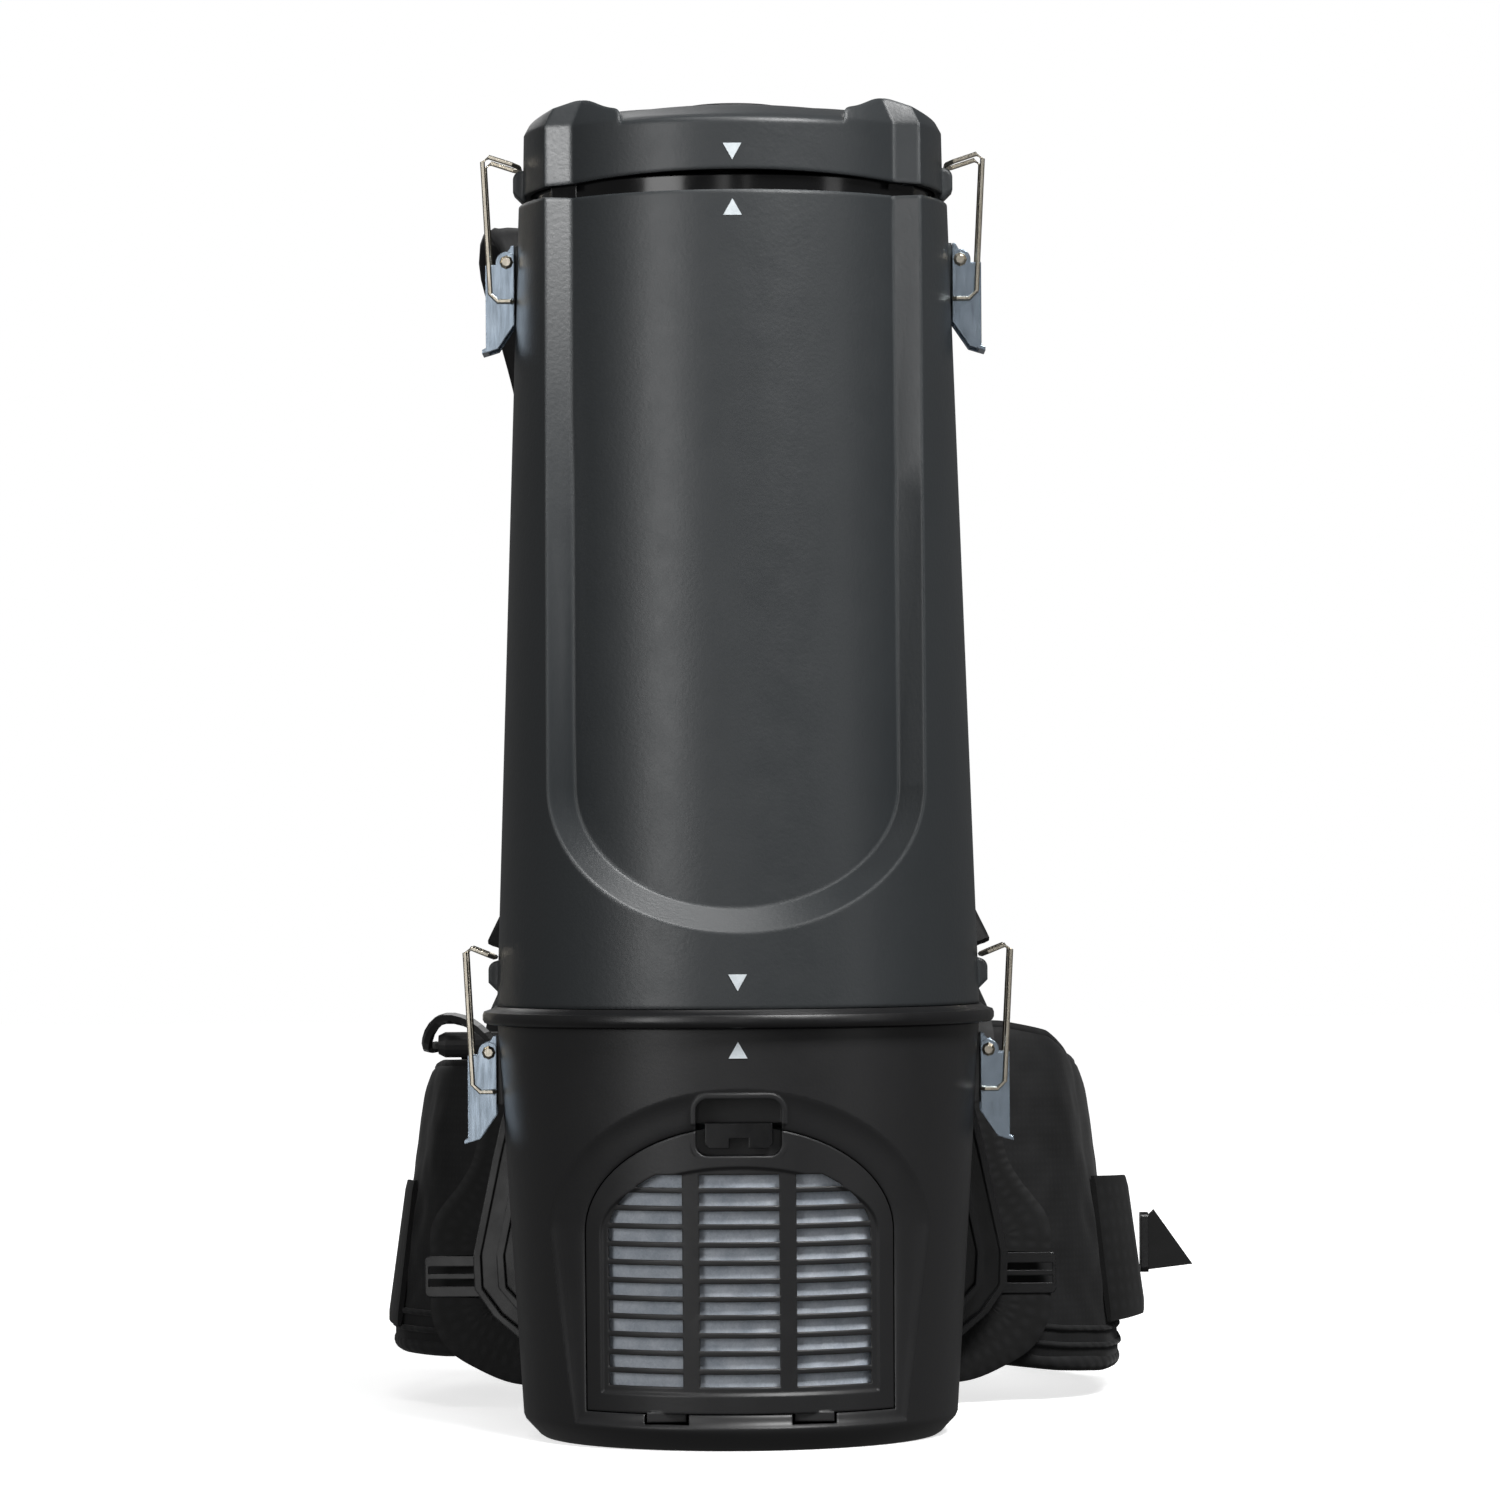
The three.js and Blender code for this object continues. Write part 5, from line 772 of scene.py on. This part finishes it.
seal = Sizes(foot=508, high=13, inset=3.9, wall=3.7, edge=0.6)


def lidSeal():
    high, wall, edge = seal.high, seal.wall, seal.edge
    section = [(0, edge), (edge, 0), (high - edge, 0), (high, edge), (high, wall), (0, wall), (0, edge)]
    loops = [planRing(seal.foot + rise, lidTop, seal.inset + depth) for rise, depth in section]
    return skin(loops, capped=False)


finishPiece(lidSeal(), "lidSealSleeve", "polishedBlackAbs", "lid_section", "soft_rubber", "lid_seal",
            smooth=40)
print("lid made")

# Joint ring

joint = Sizes(foot=172.3, line=[(97.5, 0), (105.5, 0), (106.6, 0.5), (107.3, 1.8), (107.3, 3.8),
                                (106.7, 5.2), (105.5, 5.6), (103, 6.5), (102.1, 7.4), (97.5, 7.4)])
finishPiece(turned([(r, joint.foot + rise) for r, rise in joint.line], can.baseSteps), "jointRingBand",
            "epdmRubber", "chamber", "soft_rubber", "joint_ring", smooth=40)

# Base with its dished doorway

door = Sizes(half=63.2, foot=15, spring=88.6, top=132.8, gap=0.5, back=2.8, thick=3, margin=15,
             footMargin=5, bow=0.35, cutBack=-30.3, slotHalf=53.4, slotTop=119.6, slot=5.2, pitch=7.38,
             rows=12, first=112.7, centre=16.2, rib=7, tab=16, tabAt=30, tabNear=0.5, tabFar=2.5, drop=3,
             lap=1, rim=2.4, slope=1.5, sunk=0.9, sunkStart=0.3, above=16, archSteps=40, legSteps=12,
             footSteps=24)
well = Sizes(half=17.5, top=143.8, foot=120.3, deep=9, floor=2, corner=5, shelf=1.5, inside=1)
baseFoot = [(82.8, 0), (84.4, 1), (90.2, 7.2), (91.05, 9.2)]
ledge = Sizes(inner=90, outer=98, foot=148.7, top=151.7)
slit = Sizes(play=1, front=-93.2, back=-45.5)
wallHoles = dict(lead=(3.1, 150, 158), cord=(10, 50, 62))  # radius, angle round the base, height
holeSteps = 32
baseWide = can.baseTop
outFront = -can.baseTop - can.past
wellBack = -baseRadius(well.foot) + door.back + well.deep


def doorArch(margin, footMargin=None):
    footMargin = margin if footMargin is None else footMargin
    half, foot, spring = door.half + footMargin, door.foot - footMargin, door.spring
    head = arc(door.half + margin, door.top - spring + margin, math.pi, 0, door.archSteps, (0, spring))
    return [(-half, foot)] + head + straight((half, foot), (-half, foot), door.footSteps)


def slotArch(margin):  # the outline round all the slots
    foot = door.first - (door.rows - 1) * door.pitch - door.slot - margin
    half, spring = door.slotHalf + margin, door.spring
    line = straight((-half, foot), (-half, spring), door.legSteps)
    line += arc(half, door.first - spring + margin, math.pi, 0, door.archSteps, (0, spring))
    line += straight((half, spring), (half, foot), door.legSteps)[1:]
    return line + straight((half, foot), (-half, foot), door.footSteps)


def wellLine(margin):
    half = well.half - margin
    return roundBox(-half, well.foot + margin, half, well.top - margin, well.corner - margin)


def onWall(x, z, sink):  # a point of the base's front, sunk into it
    return x, -math.sqrt((baseRadius(z) - sink) ** 2 - x * x), z


def sunkCut(outer, inner, start, deep, bow=0, steps=8):  # a hollow whose flank falls between two outlines
    loops = [[(x, outFront, z) for x, z in outer]]
    for i in range(steps + 1):
        t = i / steps
        sink = start + deep * (t + bow * math.sin(math.pi * t) * (1 - t))
        loops.append([onWall(lerp(a[0], b[0], t), lerp(a[1], b[1], t), sink) for a, b in zip(outer, inner)])
    middle = sum(z for x, z in inner) / len(inner)
    for share in (0.8, 0.6, 0.4, 0.2, 0.02):  # the hollow's floor, in towards its middle
        loops.append([onWall(x * share, lerp(middle, z, share), start + deep) for x, z in inner])
    return skin(loops)


def wallHole(radius, angle, height):
    past = can.past
    hole = cone(-past, radius, past, radius, holeSteps)
    out = Vector((math.cos(math.radians(angle)), math.sin(math.radians(angle)), 0))
    place = Matrix.Translation(out * baseRadius(height) + Vector((0, 0, height)))
    hole.data.transform(place @ out.to_track_quat("Z", "Y").to_matrix().to_4x4())
    return hole


def tabLine(side, play=0):
    at, half = side * door.tabAt, door.tab / 2 + play
    return box(at - half, door.foot - door.drop - play, at + half, door.foot + door.lap)


def baseShell():
    steps, wall, high, floor = can.baseSteps, can.wall, can.baseHeight, can.floor
    over, tall = high + can.past, can.footHeight + wall
    shell = turned([(0, 0)] + baseFoot + [(baseWide, high), (0, high)], steps)
    hollow = turned([(0, floor), (can.footRadius - wall, floor), (can.baseLow - wall, tall),
                     (baseRadius(over) - wall, over), (0, over)], steps)
    step = turned(box(ledge.inner, ledge.foot, ledge.outer, ledge.top), steps)
    housing = common(slab(wellLine(-well.floor), -baseWide, wellBack + well.floor),
                     cone(0, can.baseLow - well.inside, high, baseWide, steps),
                     slab(box(-baseWide, door.top + door.gap, baseWide, high), -baseWide, baseWide))
    dish = sunkCut(doorArch(door.margin, door.footMargin), doorArch(0), 0, door.back, door.bow)
    cut(shell, hollow, dish)
    join(shell, step, housing, *bothSides(lambda: latchPad("lower")))
    slits = [slab(tabLine(side, slit.play), slit.front, slit.back) for side in (1, -1)]
    return cut(shell, slab(wellLine(0), outFront, wellBack), slab(doorArch(0), outFront, door.cutBack),
               *slits, *[wallHole(*hole) for hole in wallHoles.values()])


finishPiece(baseShell(), "baseShell", "mouldedBlackAbs", "base", "black_plastic", "base_housing",
            surfaces=((onBase, snug),))
print("base made")


# Louvred exhaust door

def frontShell():  # a leaf of the base's own curve, set back behind its wall
    near, far, past = door.back, door.back + door.thick, can.past
    high = door.top + door.above
    over, steps = high + past, can.baseSteps
    leaf = cut(cone(0, baseRadius(0) - near, high, baseRadius(high) - near, steps),
               cone(-past, baseRadius(-past) - far, over, baseRadius(over) - far, steps))
    return common(leaf, slab(box(-baseWide, 0, baseWide, high), -baseWide, door.cutBack))


def slots():  # three columns of slots whose ends follow the arch
    half, spring, centre = door.slotHalf, door.spring, door.centre
    head = arc(half, door.slotTop - spring, math.pi, 0, door.archSteps, (0, spring))
    field = [(-half, door.foot)] + head + [(half, door.foot)]
    bars = []
    for row in range(door.rows):
        top = door.first - row * door.pitch
        for x0, x1 in ((-half, -centre - door.rib), (-centre, centre), (centre + door.rib, half)):
            bars.append(slab(box(x0, top - door.slot, x1, top), -baseWide, 0))
    return common(join(*bars), slab(field, -baseWide, 0))


def louvredDoor():
    outline, back = doorArch(-door.gap), door.back
    leaf = common(frontShell(), slab(outline, -baseWide, 0))
    sunk = sunkCut(slotArch(door.rim + door.slope), slotArch(door.rim), back - door.sunkStart,
                   door.sunk + door.sunkStart, steps=3)
    cut(leaf, sunk, slots(), slab(wellLine(0), outFront, 0))
    front = -baseRadius(well.foot) + back + well.shelf
    shelf = common(slab(wellLine(-well.floor), front, wellBack + well.floor), slab(outline, -baseWide, 0))
    cut(shelf, slab(wellLine(0), outFront, wellBack))
    face = onWall(door.tabAt, door.foot, back)[1]
    tabs = [slab(tabLine(side), face + door.tabNear, face + door.tabFar) for side in (1, -1)]
    return join(leaf, shelf, *tabs)


finishPiece(louvredDoor(), "louvredDoor", "mouldedBlackAbs", "door", "black_plastic", "filter_door",
            surfaces=((lambda p: onBase(p, door.back), snug),))
print("exhaust door made")

# Exhaust filter, a felt sheet behind the slots

felt = Sizes(margin=6, footMargin=7, topMargin=14, front=6.3, deep=5, uneven=0.5, lump=(9, 5), seed=4,
             columns=120, rows=60)


def feltFilter():
    loops, full, spring = [], door.half - felt.margin, door.spring
    for j in range(felt.rows + 1):
        z = lerp(door.foot + felt.footMargin, door.top - felt.topMargin, j / felt.rows)
        rise = max(0, z - spring) / (door.top - spring - felt.margin)
        half = full * math.sqrt(max(0, 1 - rise * rise))
        front, back = [], []
        for i in range(felt.columns + 1):
            x = lerp(-half, half, i / felt.columns)
            lump = noise.noise(Vector((x / felt.lump[0], z / felt.lump[1], felt.seed)))
            sink = felt.front + felt.uneven * (1 + lump)
            front.append(onWall(x, z, sink))
            back.append(onWall(x, z, sink + felt.deep))
        loops.append(front + back[::-1])
    return skin(loops)


finishPiece(feltFilter(), "feltExhaustFilter", "needledFilterFelt", "door", "filter_felt", "exhaust_filter",
            smooth=50)
print("exhaust filter made")

# Alignment marks, thin pad-printed triangles

mark = Sizes(half=3.8, tall=6.7, proud=0.22, deep=0.3)
marks = {  # the body that each is printed on, its middle's height, its tip up or down and the wall it is on
    "lidMark": ("lid_section", 529.5, -1, panelFront(0, can.top)),
    "chamberTopMark": ("chamber", 506.8, 1, panelFront(0, 506.8)),
    "chamberFootMark": ("chamber", 190.6, -1, -chamberRadius(190.6)),
    "baseMark": ("base", 163.4, 1, -baseRadius(163.4)),
}
for name, (body, height, way, wallY) in marks.items():
    foot, tip = height - way * mark.tall / 2, height + way * mark.tall / 2
    line = [(-mark.half, foot), (mark.half, foot), (0, tip)]
    finishPiece(slab(line, wallY - mark.proud, wallY + mark.deep), name, "padPrintedInk", body,
                "black_plastic" if body == "base" else "charcoal_plastic")

# Belt wings, each a padded sheet that curves round the hip

wing = Sizes(
    thick=12, edge=4, start=84, face=130.9, deep=170, tipTop=118, tipFoot=41, flare=9, length=230,
    columns=110, rows=56, ends=(0.02, 0.1),
    reach=dict(left=144, right=158), high=dict(left=152, right=168), low=dict(left=22, right=12),
    out=[0, 0.42, 0.72, 0.92, 1, 0.86, 0.58], back=[0, 0.01, 0.06, 0.19, 0.42, 0.71, 1],
    top=dict(left=[0.97, 1, 0.97, 0.95, 0.85, 0.55, 0], right=[1, 0.98, 0.89, 0.68, 0.57, 0.39, 0]),
    foot=dict(left=[0.1, 0.05, 0, 0, 0, 0.3, 1], right=[0.29, 0.18, 0.07, 0, 0, 0.36, 1]),
    flares=[0, 0, 0.4, 0.9, 1, 1, 1])
folds = Sizes(slant=1.5, slantRun=(7, 1.6), slantRise=(1.3, 2), rumple=0.6, rumpleRun=19, rumpleRise=6,
              rumpleSeed=7, seeds={1: 3, -1: 11})
signs = {"left": -1, "right": 1}
nudge = 0.001  # the step that finds which way a wing runs


def wingCurve(hand):
    outs = [signs[hand] * lerp(wing.start, wing.reach[hand], out) for out in wing.out]
    return curveThrough([(x, wing.face + wing.deep * back, 0) for x, back in zip(outs, wing.back)])


wingCurves = {hand: wingCurve(hand) for hand in signs}


def wingSpan(hand, s):
    return (lerp(wing.low[hand], wing.tipFoot, along(wing.foot[hand], s)),
            lerp(wing.tipTop, wing.high[hand], along(wing.top[hand], s)))


def byWing(hand, s, z, outwards):  # the place at a height, and at a distance outwards from a wing's middle
    curve, held = wingCurves[hand], min(max(s, 0), 1)
    run = (curve(min(held + nudge, 1)) - curve(max(held - nudge, 0))).normalized()
    out = Vector((run.y, -run.x, 0)) * signs[hand]
    low, high = wingSpan(hand, held)
    v = 2 * (z - low) / (high - low) - 1
    spot = curve(held) + run * (s - held) * wing.deep
    spot += out * (outwards - v * wing.flare * along(wing.flares, held))
    spot.z = z
    return spot


def drawnIn(v):
    return math.sqrt(max(0, 1 - v ** 4))


def fullness(s, least, reach):  # thins a pad towards its ends
    return min(1, math.sqrt((min(s, 1 - s) + least) / reach))


def padFace(s, v, face):  # how far out a wing's cloth lies: its crown, slanting folds and smaller rumples
    swell, seed = drawnIn(v) * fullness(s, *wing.ends), folds.seeds[face]
    (a, b), (c, d) = folds.slantRun, folds.slantRise
    slant = noise.noise(Vector((s * a + v * b, v * c - s * d, seed)))
    rumple = noise.noise(Vector((s * folds.rumpleRun, v * folds.rumpleRise, seed + folds.rumpleSeed)))
    fold = folds.slant * slant + folds.rumple * rumple
    return face * lerp(wing.edge, wing.thick, swell) / 2 + fold * swell


def wingPad(hand):
    def place(i, v, face):
        s = i / wing.columns
        z = lerp(*wingSpan(hand, s), (v + 1) / 2)
        return byWing(hand, s, z, padFace(s, v, face)), (s * wing.length, z)

    return sheet(wing.columns, wing.rows, place)


for hand in signs:
    piece = finishPiece(wingPad(hand), f"beltWing.{hand}", "nylonPackCloth", "base", "padded_fabric",
                        f"waist_wing_{hand}", smooth=60)
print("belt wings made")


# Rolled hems, piping and bindings along the wings

def tube(line, radius, sides):  # a round cord whose coordinates run with it; radius can change along it
    run = tangents(line)
    side = run[0].orthogonal().normalized()
    loops, uvs, length = [], [], 0
    for i, spot in enumerate(line):
        side = (side - run[i] * side.dot(run[i])).normalized()
        up = run[i].cross(side)
        r = radius(i / (len(line) - 1)) if callable(radius) else radius
        length += (spot - line[i - 1]).length if i else 0
        angles = [2 * math.pi * k / sides for k in range(sides)]
        loops.append([spot + (side * math.cos(angle) + up * math.sin(angle)) * r for angle in angles])
        uvs += [(length, r * angle) for angle in angles]
    return skin(loops, uvs)


hem = Sizes(roll=4.2, sunk=0.5, out=0.6, pipe=1.3, pipesAt=(11, 18.5), pipeOut=0.3, binding=2.6, under=0.6,
            start=0.02, steps=90, close=40, tip=0.02, rollSides=18, pipeSides=10, bindingSides=12)


def rollRadius(t):  # a rolled end
    return hem.roll * min(1, math.sqrt(max(0, min(t, 1 - t)) * hem.close + hem.tip))


def wingHems(hand):  # each hem's name, the line it follows, its radius and its sides
    shares = [lerp(hem.start, 1 - hem.start, i / hem.steps) for i in range(hem.steps + 1)]
    spans = [(s, *wingSpan(hand, s)) for s in shares]
    foot = [byWing(hand, s, low + hem.roll - hem.sunk, hem.out) for s, low, high in spans]
    yield "hemRoll", foot, rollRadius, hem.rollSides
    for level, rise in enumerate(hem.pipesAt):
        pipe = []
        for s, low, high in spans:
            out = padFace(s, 2 * rise / (high - low) - 1, 1) + hem.pipeOut
            pipe.append(byWing(hand, s, low + rise, out))
        yield f"footPiping{level}", pipe, hem.pipe, hem.pipeSides
    top = [byWing(hand, s, high - hem.under, 0) for s, low, high in spans]
    yield "topBinding", top, hem.binding, hem.bindingSides


for hand in signs:
    for name, line, radius, sides in wingHems(hand):
        finishPiece(tube(line, radius, sides), f"{name}.{hand}", "twillBinding", "base", "padded_fabric",
                    smooth=180)
print("hems and piping made")

# Webbing

webbing = Sizes(thick=2.4, gap=0.4, band=65, middle=66, tip=40, start=0.5, beyond=26, strap=25, length=110,
                bulge=dict(left=0, right=14), tapers=[0, 0.1, 0.66, 0.85, 0.95, 1],
                bulges=[0, 0.7, 1, 0.8, 0.35, 0.05], hipEdge=0.6, strapEdge=0.55)


def hipWeb(hand, rows=70, columns=16):
    def place(i, v, face):
        t = i / rows
        side = v * lerp(webbing.band, webbing.tip, along(webbing.tapers, t)) / 2
        middle = (wing.thick + webbing.thick) / 2 + webbing.gap
        middle += webbing.bulge[hand] * along(webbing.bulges, t)
        thick = webbing.thick * (webbing.hipEdge if abs(v) == 1 else 1)
        s = lerp(webbing.start, 1 + webbing.beyond / wing.deep, t)
        spot = byWing(hand, s, webbing.middle + side, middle + face * thick / 2)
        return spot, (side, t * webbing.length)

    return sheet(rows, columns, place)


def ribbon(route, rows, across):  # at even steps: the place, the way across, the way out and the length run
    line = evenSpots(curveThrough(route), rows)
    frames, length = [], 0
    for i, (spot, run) in enumerate(zip(line, tangents(line))):
        length += (spot - line[i - 1]).length if i else 0
        wide = Vector(across(i / rows))
        wide = (wide - run * wide.dot(run)).normalized()
        frames.append((spot, wide, run.cross(wide), length))
    return frames


def strap(route, across, rows, columns=10):
    frames = ribbon(route, rows, across)

    def place(i, v, face):
        spot, wide, out, length = frames[i]
        thick = webbing.thick * (webbing.strapEdge if abs(v) == 1 else 1)
        side = v * webbing.strap / 2
        return spot + wide * side + out * face * thick / 2, (side, length)

    return sheet(rows, columns, place)


strapAt = 122.85  # how far back the lower straps hang
strapRoute = [(88.3, 159.6, 195.1), (91, 156.2, 188.4), (95, 143, 180), (98, 129, 171.5),
              (100, strapAt, 160), (101, strapAt, 130), (106, strapAt, 105), (113, strapAt, 92),
              (120, strapAt, 83), (124, strapAt, 77), (124, strapAt, 67.3)]
anchorRoute = [(124, strapAt, 48.7), (124, strapAt, 43), (120, strapAt, 34.5), (110, strapAt, 28),
               (98, strapAt, 23), (84, strapAt, 22)]
twist = Sizes(start=0.6, rate=1.4, anchor=-0.5)


def strapAcross(s):  # turns from level to slanting near the adjuster
    return 1, 0, max(0, s - twist.start) * twist.rate


def anchorAcross(s):
    return 1 - s, 0, twist.anchor - s


for hand in signs:
    lengths = [(hipWeb(hand), "hipWebbing", "hip_webbing"),
               (strap(strapRoute, strapAcross, rows=90), "strapWebbing", "shoulder_webbing"),
               (strap(anchorRoute, anchorAcross, rows=50), "anchorWebbing", "anchor_webbing")]
    for piece, name, node in lengths:
        if hand == "left" and name != "hipWebbing":
            mirrored(piece)
        finishPiece(piece, f"{name}.{hand}", "polyesterWebbing", "base", "webbing_fabric", f"{node}_{hand}")
print("webbing made")

# Shoulder pads

pads = Sizes(
    width=52, thick=11, edge=3.5, length=420, rumple=0.5, seam=0.9, seamAt=0.8, seamWide=0.05, rows=110,
    columns=24, seeds={1: 5, -1: 9}, lumps=(30, 2), ends=(0.004, 0.03),
    left=[(-36, 127, 440), (-44, 129, 462), (-57, 132, 486), (-72, 139, 506), (-84, 150, 516),
          (-88, 161, 509), (-81, 169, 484), (-71, 175, 440), (-67, 181, 360), (-66, 182, 280),
          (-77, 172, 222), (-88, 160, 196)],
    right=[(36, 127, 440), (40, 129, 462), (47, 132, 484), (55, 139, 502), (62, 150, 511), (67, 161, 503),
           (68, 169, 478), (67, 175, 433), (66, 181, 360), (66, 182, 280), (77, 172, 222), (88, 160, 196)])


def shoulderPad(hand):
    frames = ribbon(pads[hand], pads.rows, lambda s: (1, 0, 0))

    def place(i, v, face):
        spot, wide, out, length = frames[i]
        s = i / pads.rows
        crown = drawnIn(v) * fullness(s, *pads.ends)
        thick = lerp(pads.edge, pads.thick, crown) / 2
        thick -= pads.seam * math.exp(-((abs(v) - pads.seamAt) / pads.seamWide) ** 2)
        lump = Vector((s * pads.lumps[0], v * pads.lumps[1], pads.seeds[face]))
        thick += pads.rumple * noise.noise(lump) * crown
        side = v * pads.width / 2
        return spot + wide * side + out * face * thick, (side, s * pads.length)

    return sheet(pads.rows, pads.columns, place)


for hand in signs:
    piece = finishPiece(shoulderPad(hand), f"shoulderPad.{hand}", "nylonPackCloth", "base", "padded_fabric",
                        f"shoulder_pad_{hand}", smooth=60)

# Lumbar pad

lumbar = Sizes(half=82, foot=42, top=168, thick=19, face=121.3, edge=3.5, channel=2.6, channelAt=1 / 3,
               channelWide=0.03, rumple=0.7, lumps=5, seed=2, columns=90, rows=70)


def lumbarPad():
    face, loops = lumbar.face, []
    for i in range(lumbar.rows + 1):
        s = i / lumbar.rows
        end = drawnIn(2 * s - 1)
        half = lumbar.half - lumbar.edge * (1 - end)
        z = lerp(lumbar.foot, lumbar.top, s)
        loop = [(half, face, z), (-half, face, z)]
        for k in range(lumbar.columns + 1):
            v = -1 + 2 * k / lumbar.columns
            sewn = lumbar.channel * math.exp(-((abs(v) - lumbar.channelAt) / lumbar.channelWide) ** 2)
            place = Vector((v * lumbar.lumps, s * lumbar.lumps, lumbar.seed))
            rumple = lumbar.rumple * noise.noise(place) * end
            deep = lerp(lumbar.edge, lumbar.thick - sewn + rumple, drawnIn(v) * end)
            loop.append((v * half, face + deep, z))
        loops.append(loop)
    return skin(loops)


piece = finishPiece(lumbarPad(), "lumbarPad", "spacerMesh", "base", "padded_fabric", "lumbar_pad", smooth=60)

# Bag and motor filter

bag = Sizes(foot=206, top=498, footRadius=53, radius=59, flare=6, bow=4, wall=1.5, inner=0.975, creases=24,
            crease=0.8, lumps=3, lump=40, sides=192, rows=60, pinch=0.01)


def paperBag():
    loops = []
    for j in range(bag.rows + 1):
        t = j / bag.rows
        z, full = lerp(bag.foot, bag.top, t), math.sin(math.pi * t)
        loop = []
        for k in range(bag.sides):
            angle = 2 * math.pi * k / bag.sides
            c, s = math.cos(angle), math.sin(angle)
            radius = lerp(bag.footRadius, bag.radius, min(1, t * bag.flare)) + bag.bow * full
            radius += bag.crease * math.cos(angle * bag.creases) * full
            radius += noise.noise(Vector((c * bag.lumps, s * bag.lumps, z / bag.lump)))
            loop.append((radius * c, radius * s, z))
        loops.append(loop)
    share, pinch, floor = bag.inner, bag.pinch, bag.foot + bag.wall
    inner = [[(x * share, y * share, max(z, floor)) for x, y, z in loop] for loop in loops]
    ends = [[(x * pinch, y * pinch, height) for x, y, z in loops[0]] for height in (floor, bag.foot)]
    return skin([ends[0]] + inner + loops[::-1] + [ends[1]])


finishPiece(paperBag(), "paperBag", "crepedBagPaper", "chamber", "bag_paper", "filter_bag", smooth=60)
foam = Sizes(radius=96.6, low=187.3, high=196.3, edge=1, steps=96)


def motorFilter():
    radius, low, high, edge = foam.radius, foam.low, foam.high, foam.edge
    return turned([(0, low), (radius - edge, low), (radius, low + edge), (radius, high - edge),
                   (radius - edge, high), (0, high)], foam.steps)


finishPiece(motorFilter(), "foamMotorFilter", "openCellFoam", "chamber", "filter_foam", "motor_filter")
print("pads, bag and motor filter made")

# Finishes on the solid parts that stay

latches = [f"{level}_latch_%s_{hand}" for level in ("upper", "lower") for hand in signs]
kept = {
    "polypropylene": ["bag_collar", "bag_support_grid", "motor_deck", "cord_inlet", "switch_box",
                      "belt_support_rod"],
    "polishedBlackAbs": ["back_frame", "door_catch", "buckle_socket", "buckle_plug", "strap_glide",
                         "switch_rocker", "strap_adjuster_left", "strap_adjuster_right"],
    "epdmRubber": ["motor_seal", "motor_boot", "lead_gland"],
    "flexiblePvc": ["switch_lead"],
    "motorSteel": ["fan_shell", "impeller", "field_frame"],
    "enamelledCopper": ["armature"],
    "polyesterWebbing": ["strap_tail"],
    "bluePassivatedZinc": [latch % part for latch in latches for part in ("plate", "lever")],
    "nickelSpringWire": [latch % part for latch in latches for part in ("rivet", "bail")],
}
creaseAngle = math.radians(38)  # edges sharper than this stay sharp
for finish, names in kept.items():
    for name in names:
        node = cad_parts[name]
        for holder in node.material_slots:
            holder.material = finishes[finish]
        node.data.shade_smooth()
        node.data.set_sharp_from_angle(angle=creaseAngle)
print("finishes set on", sum(len(names) for names in kept.values()), "solid parts")
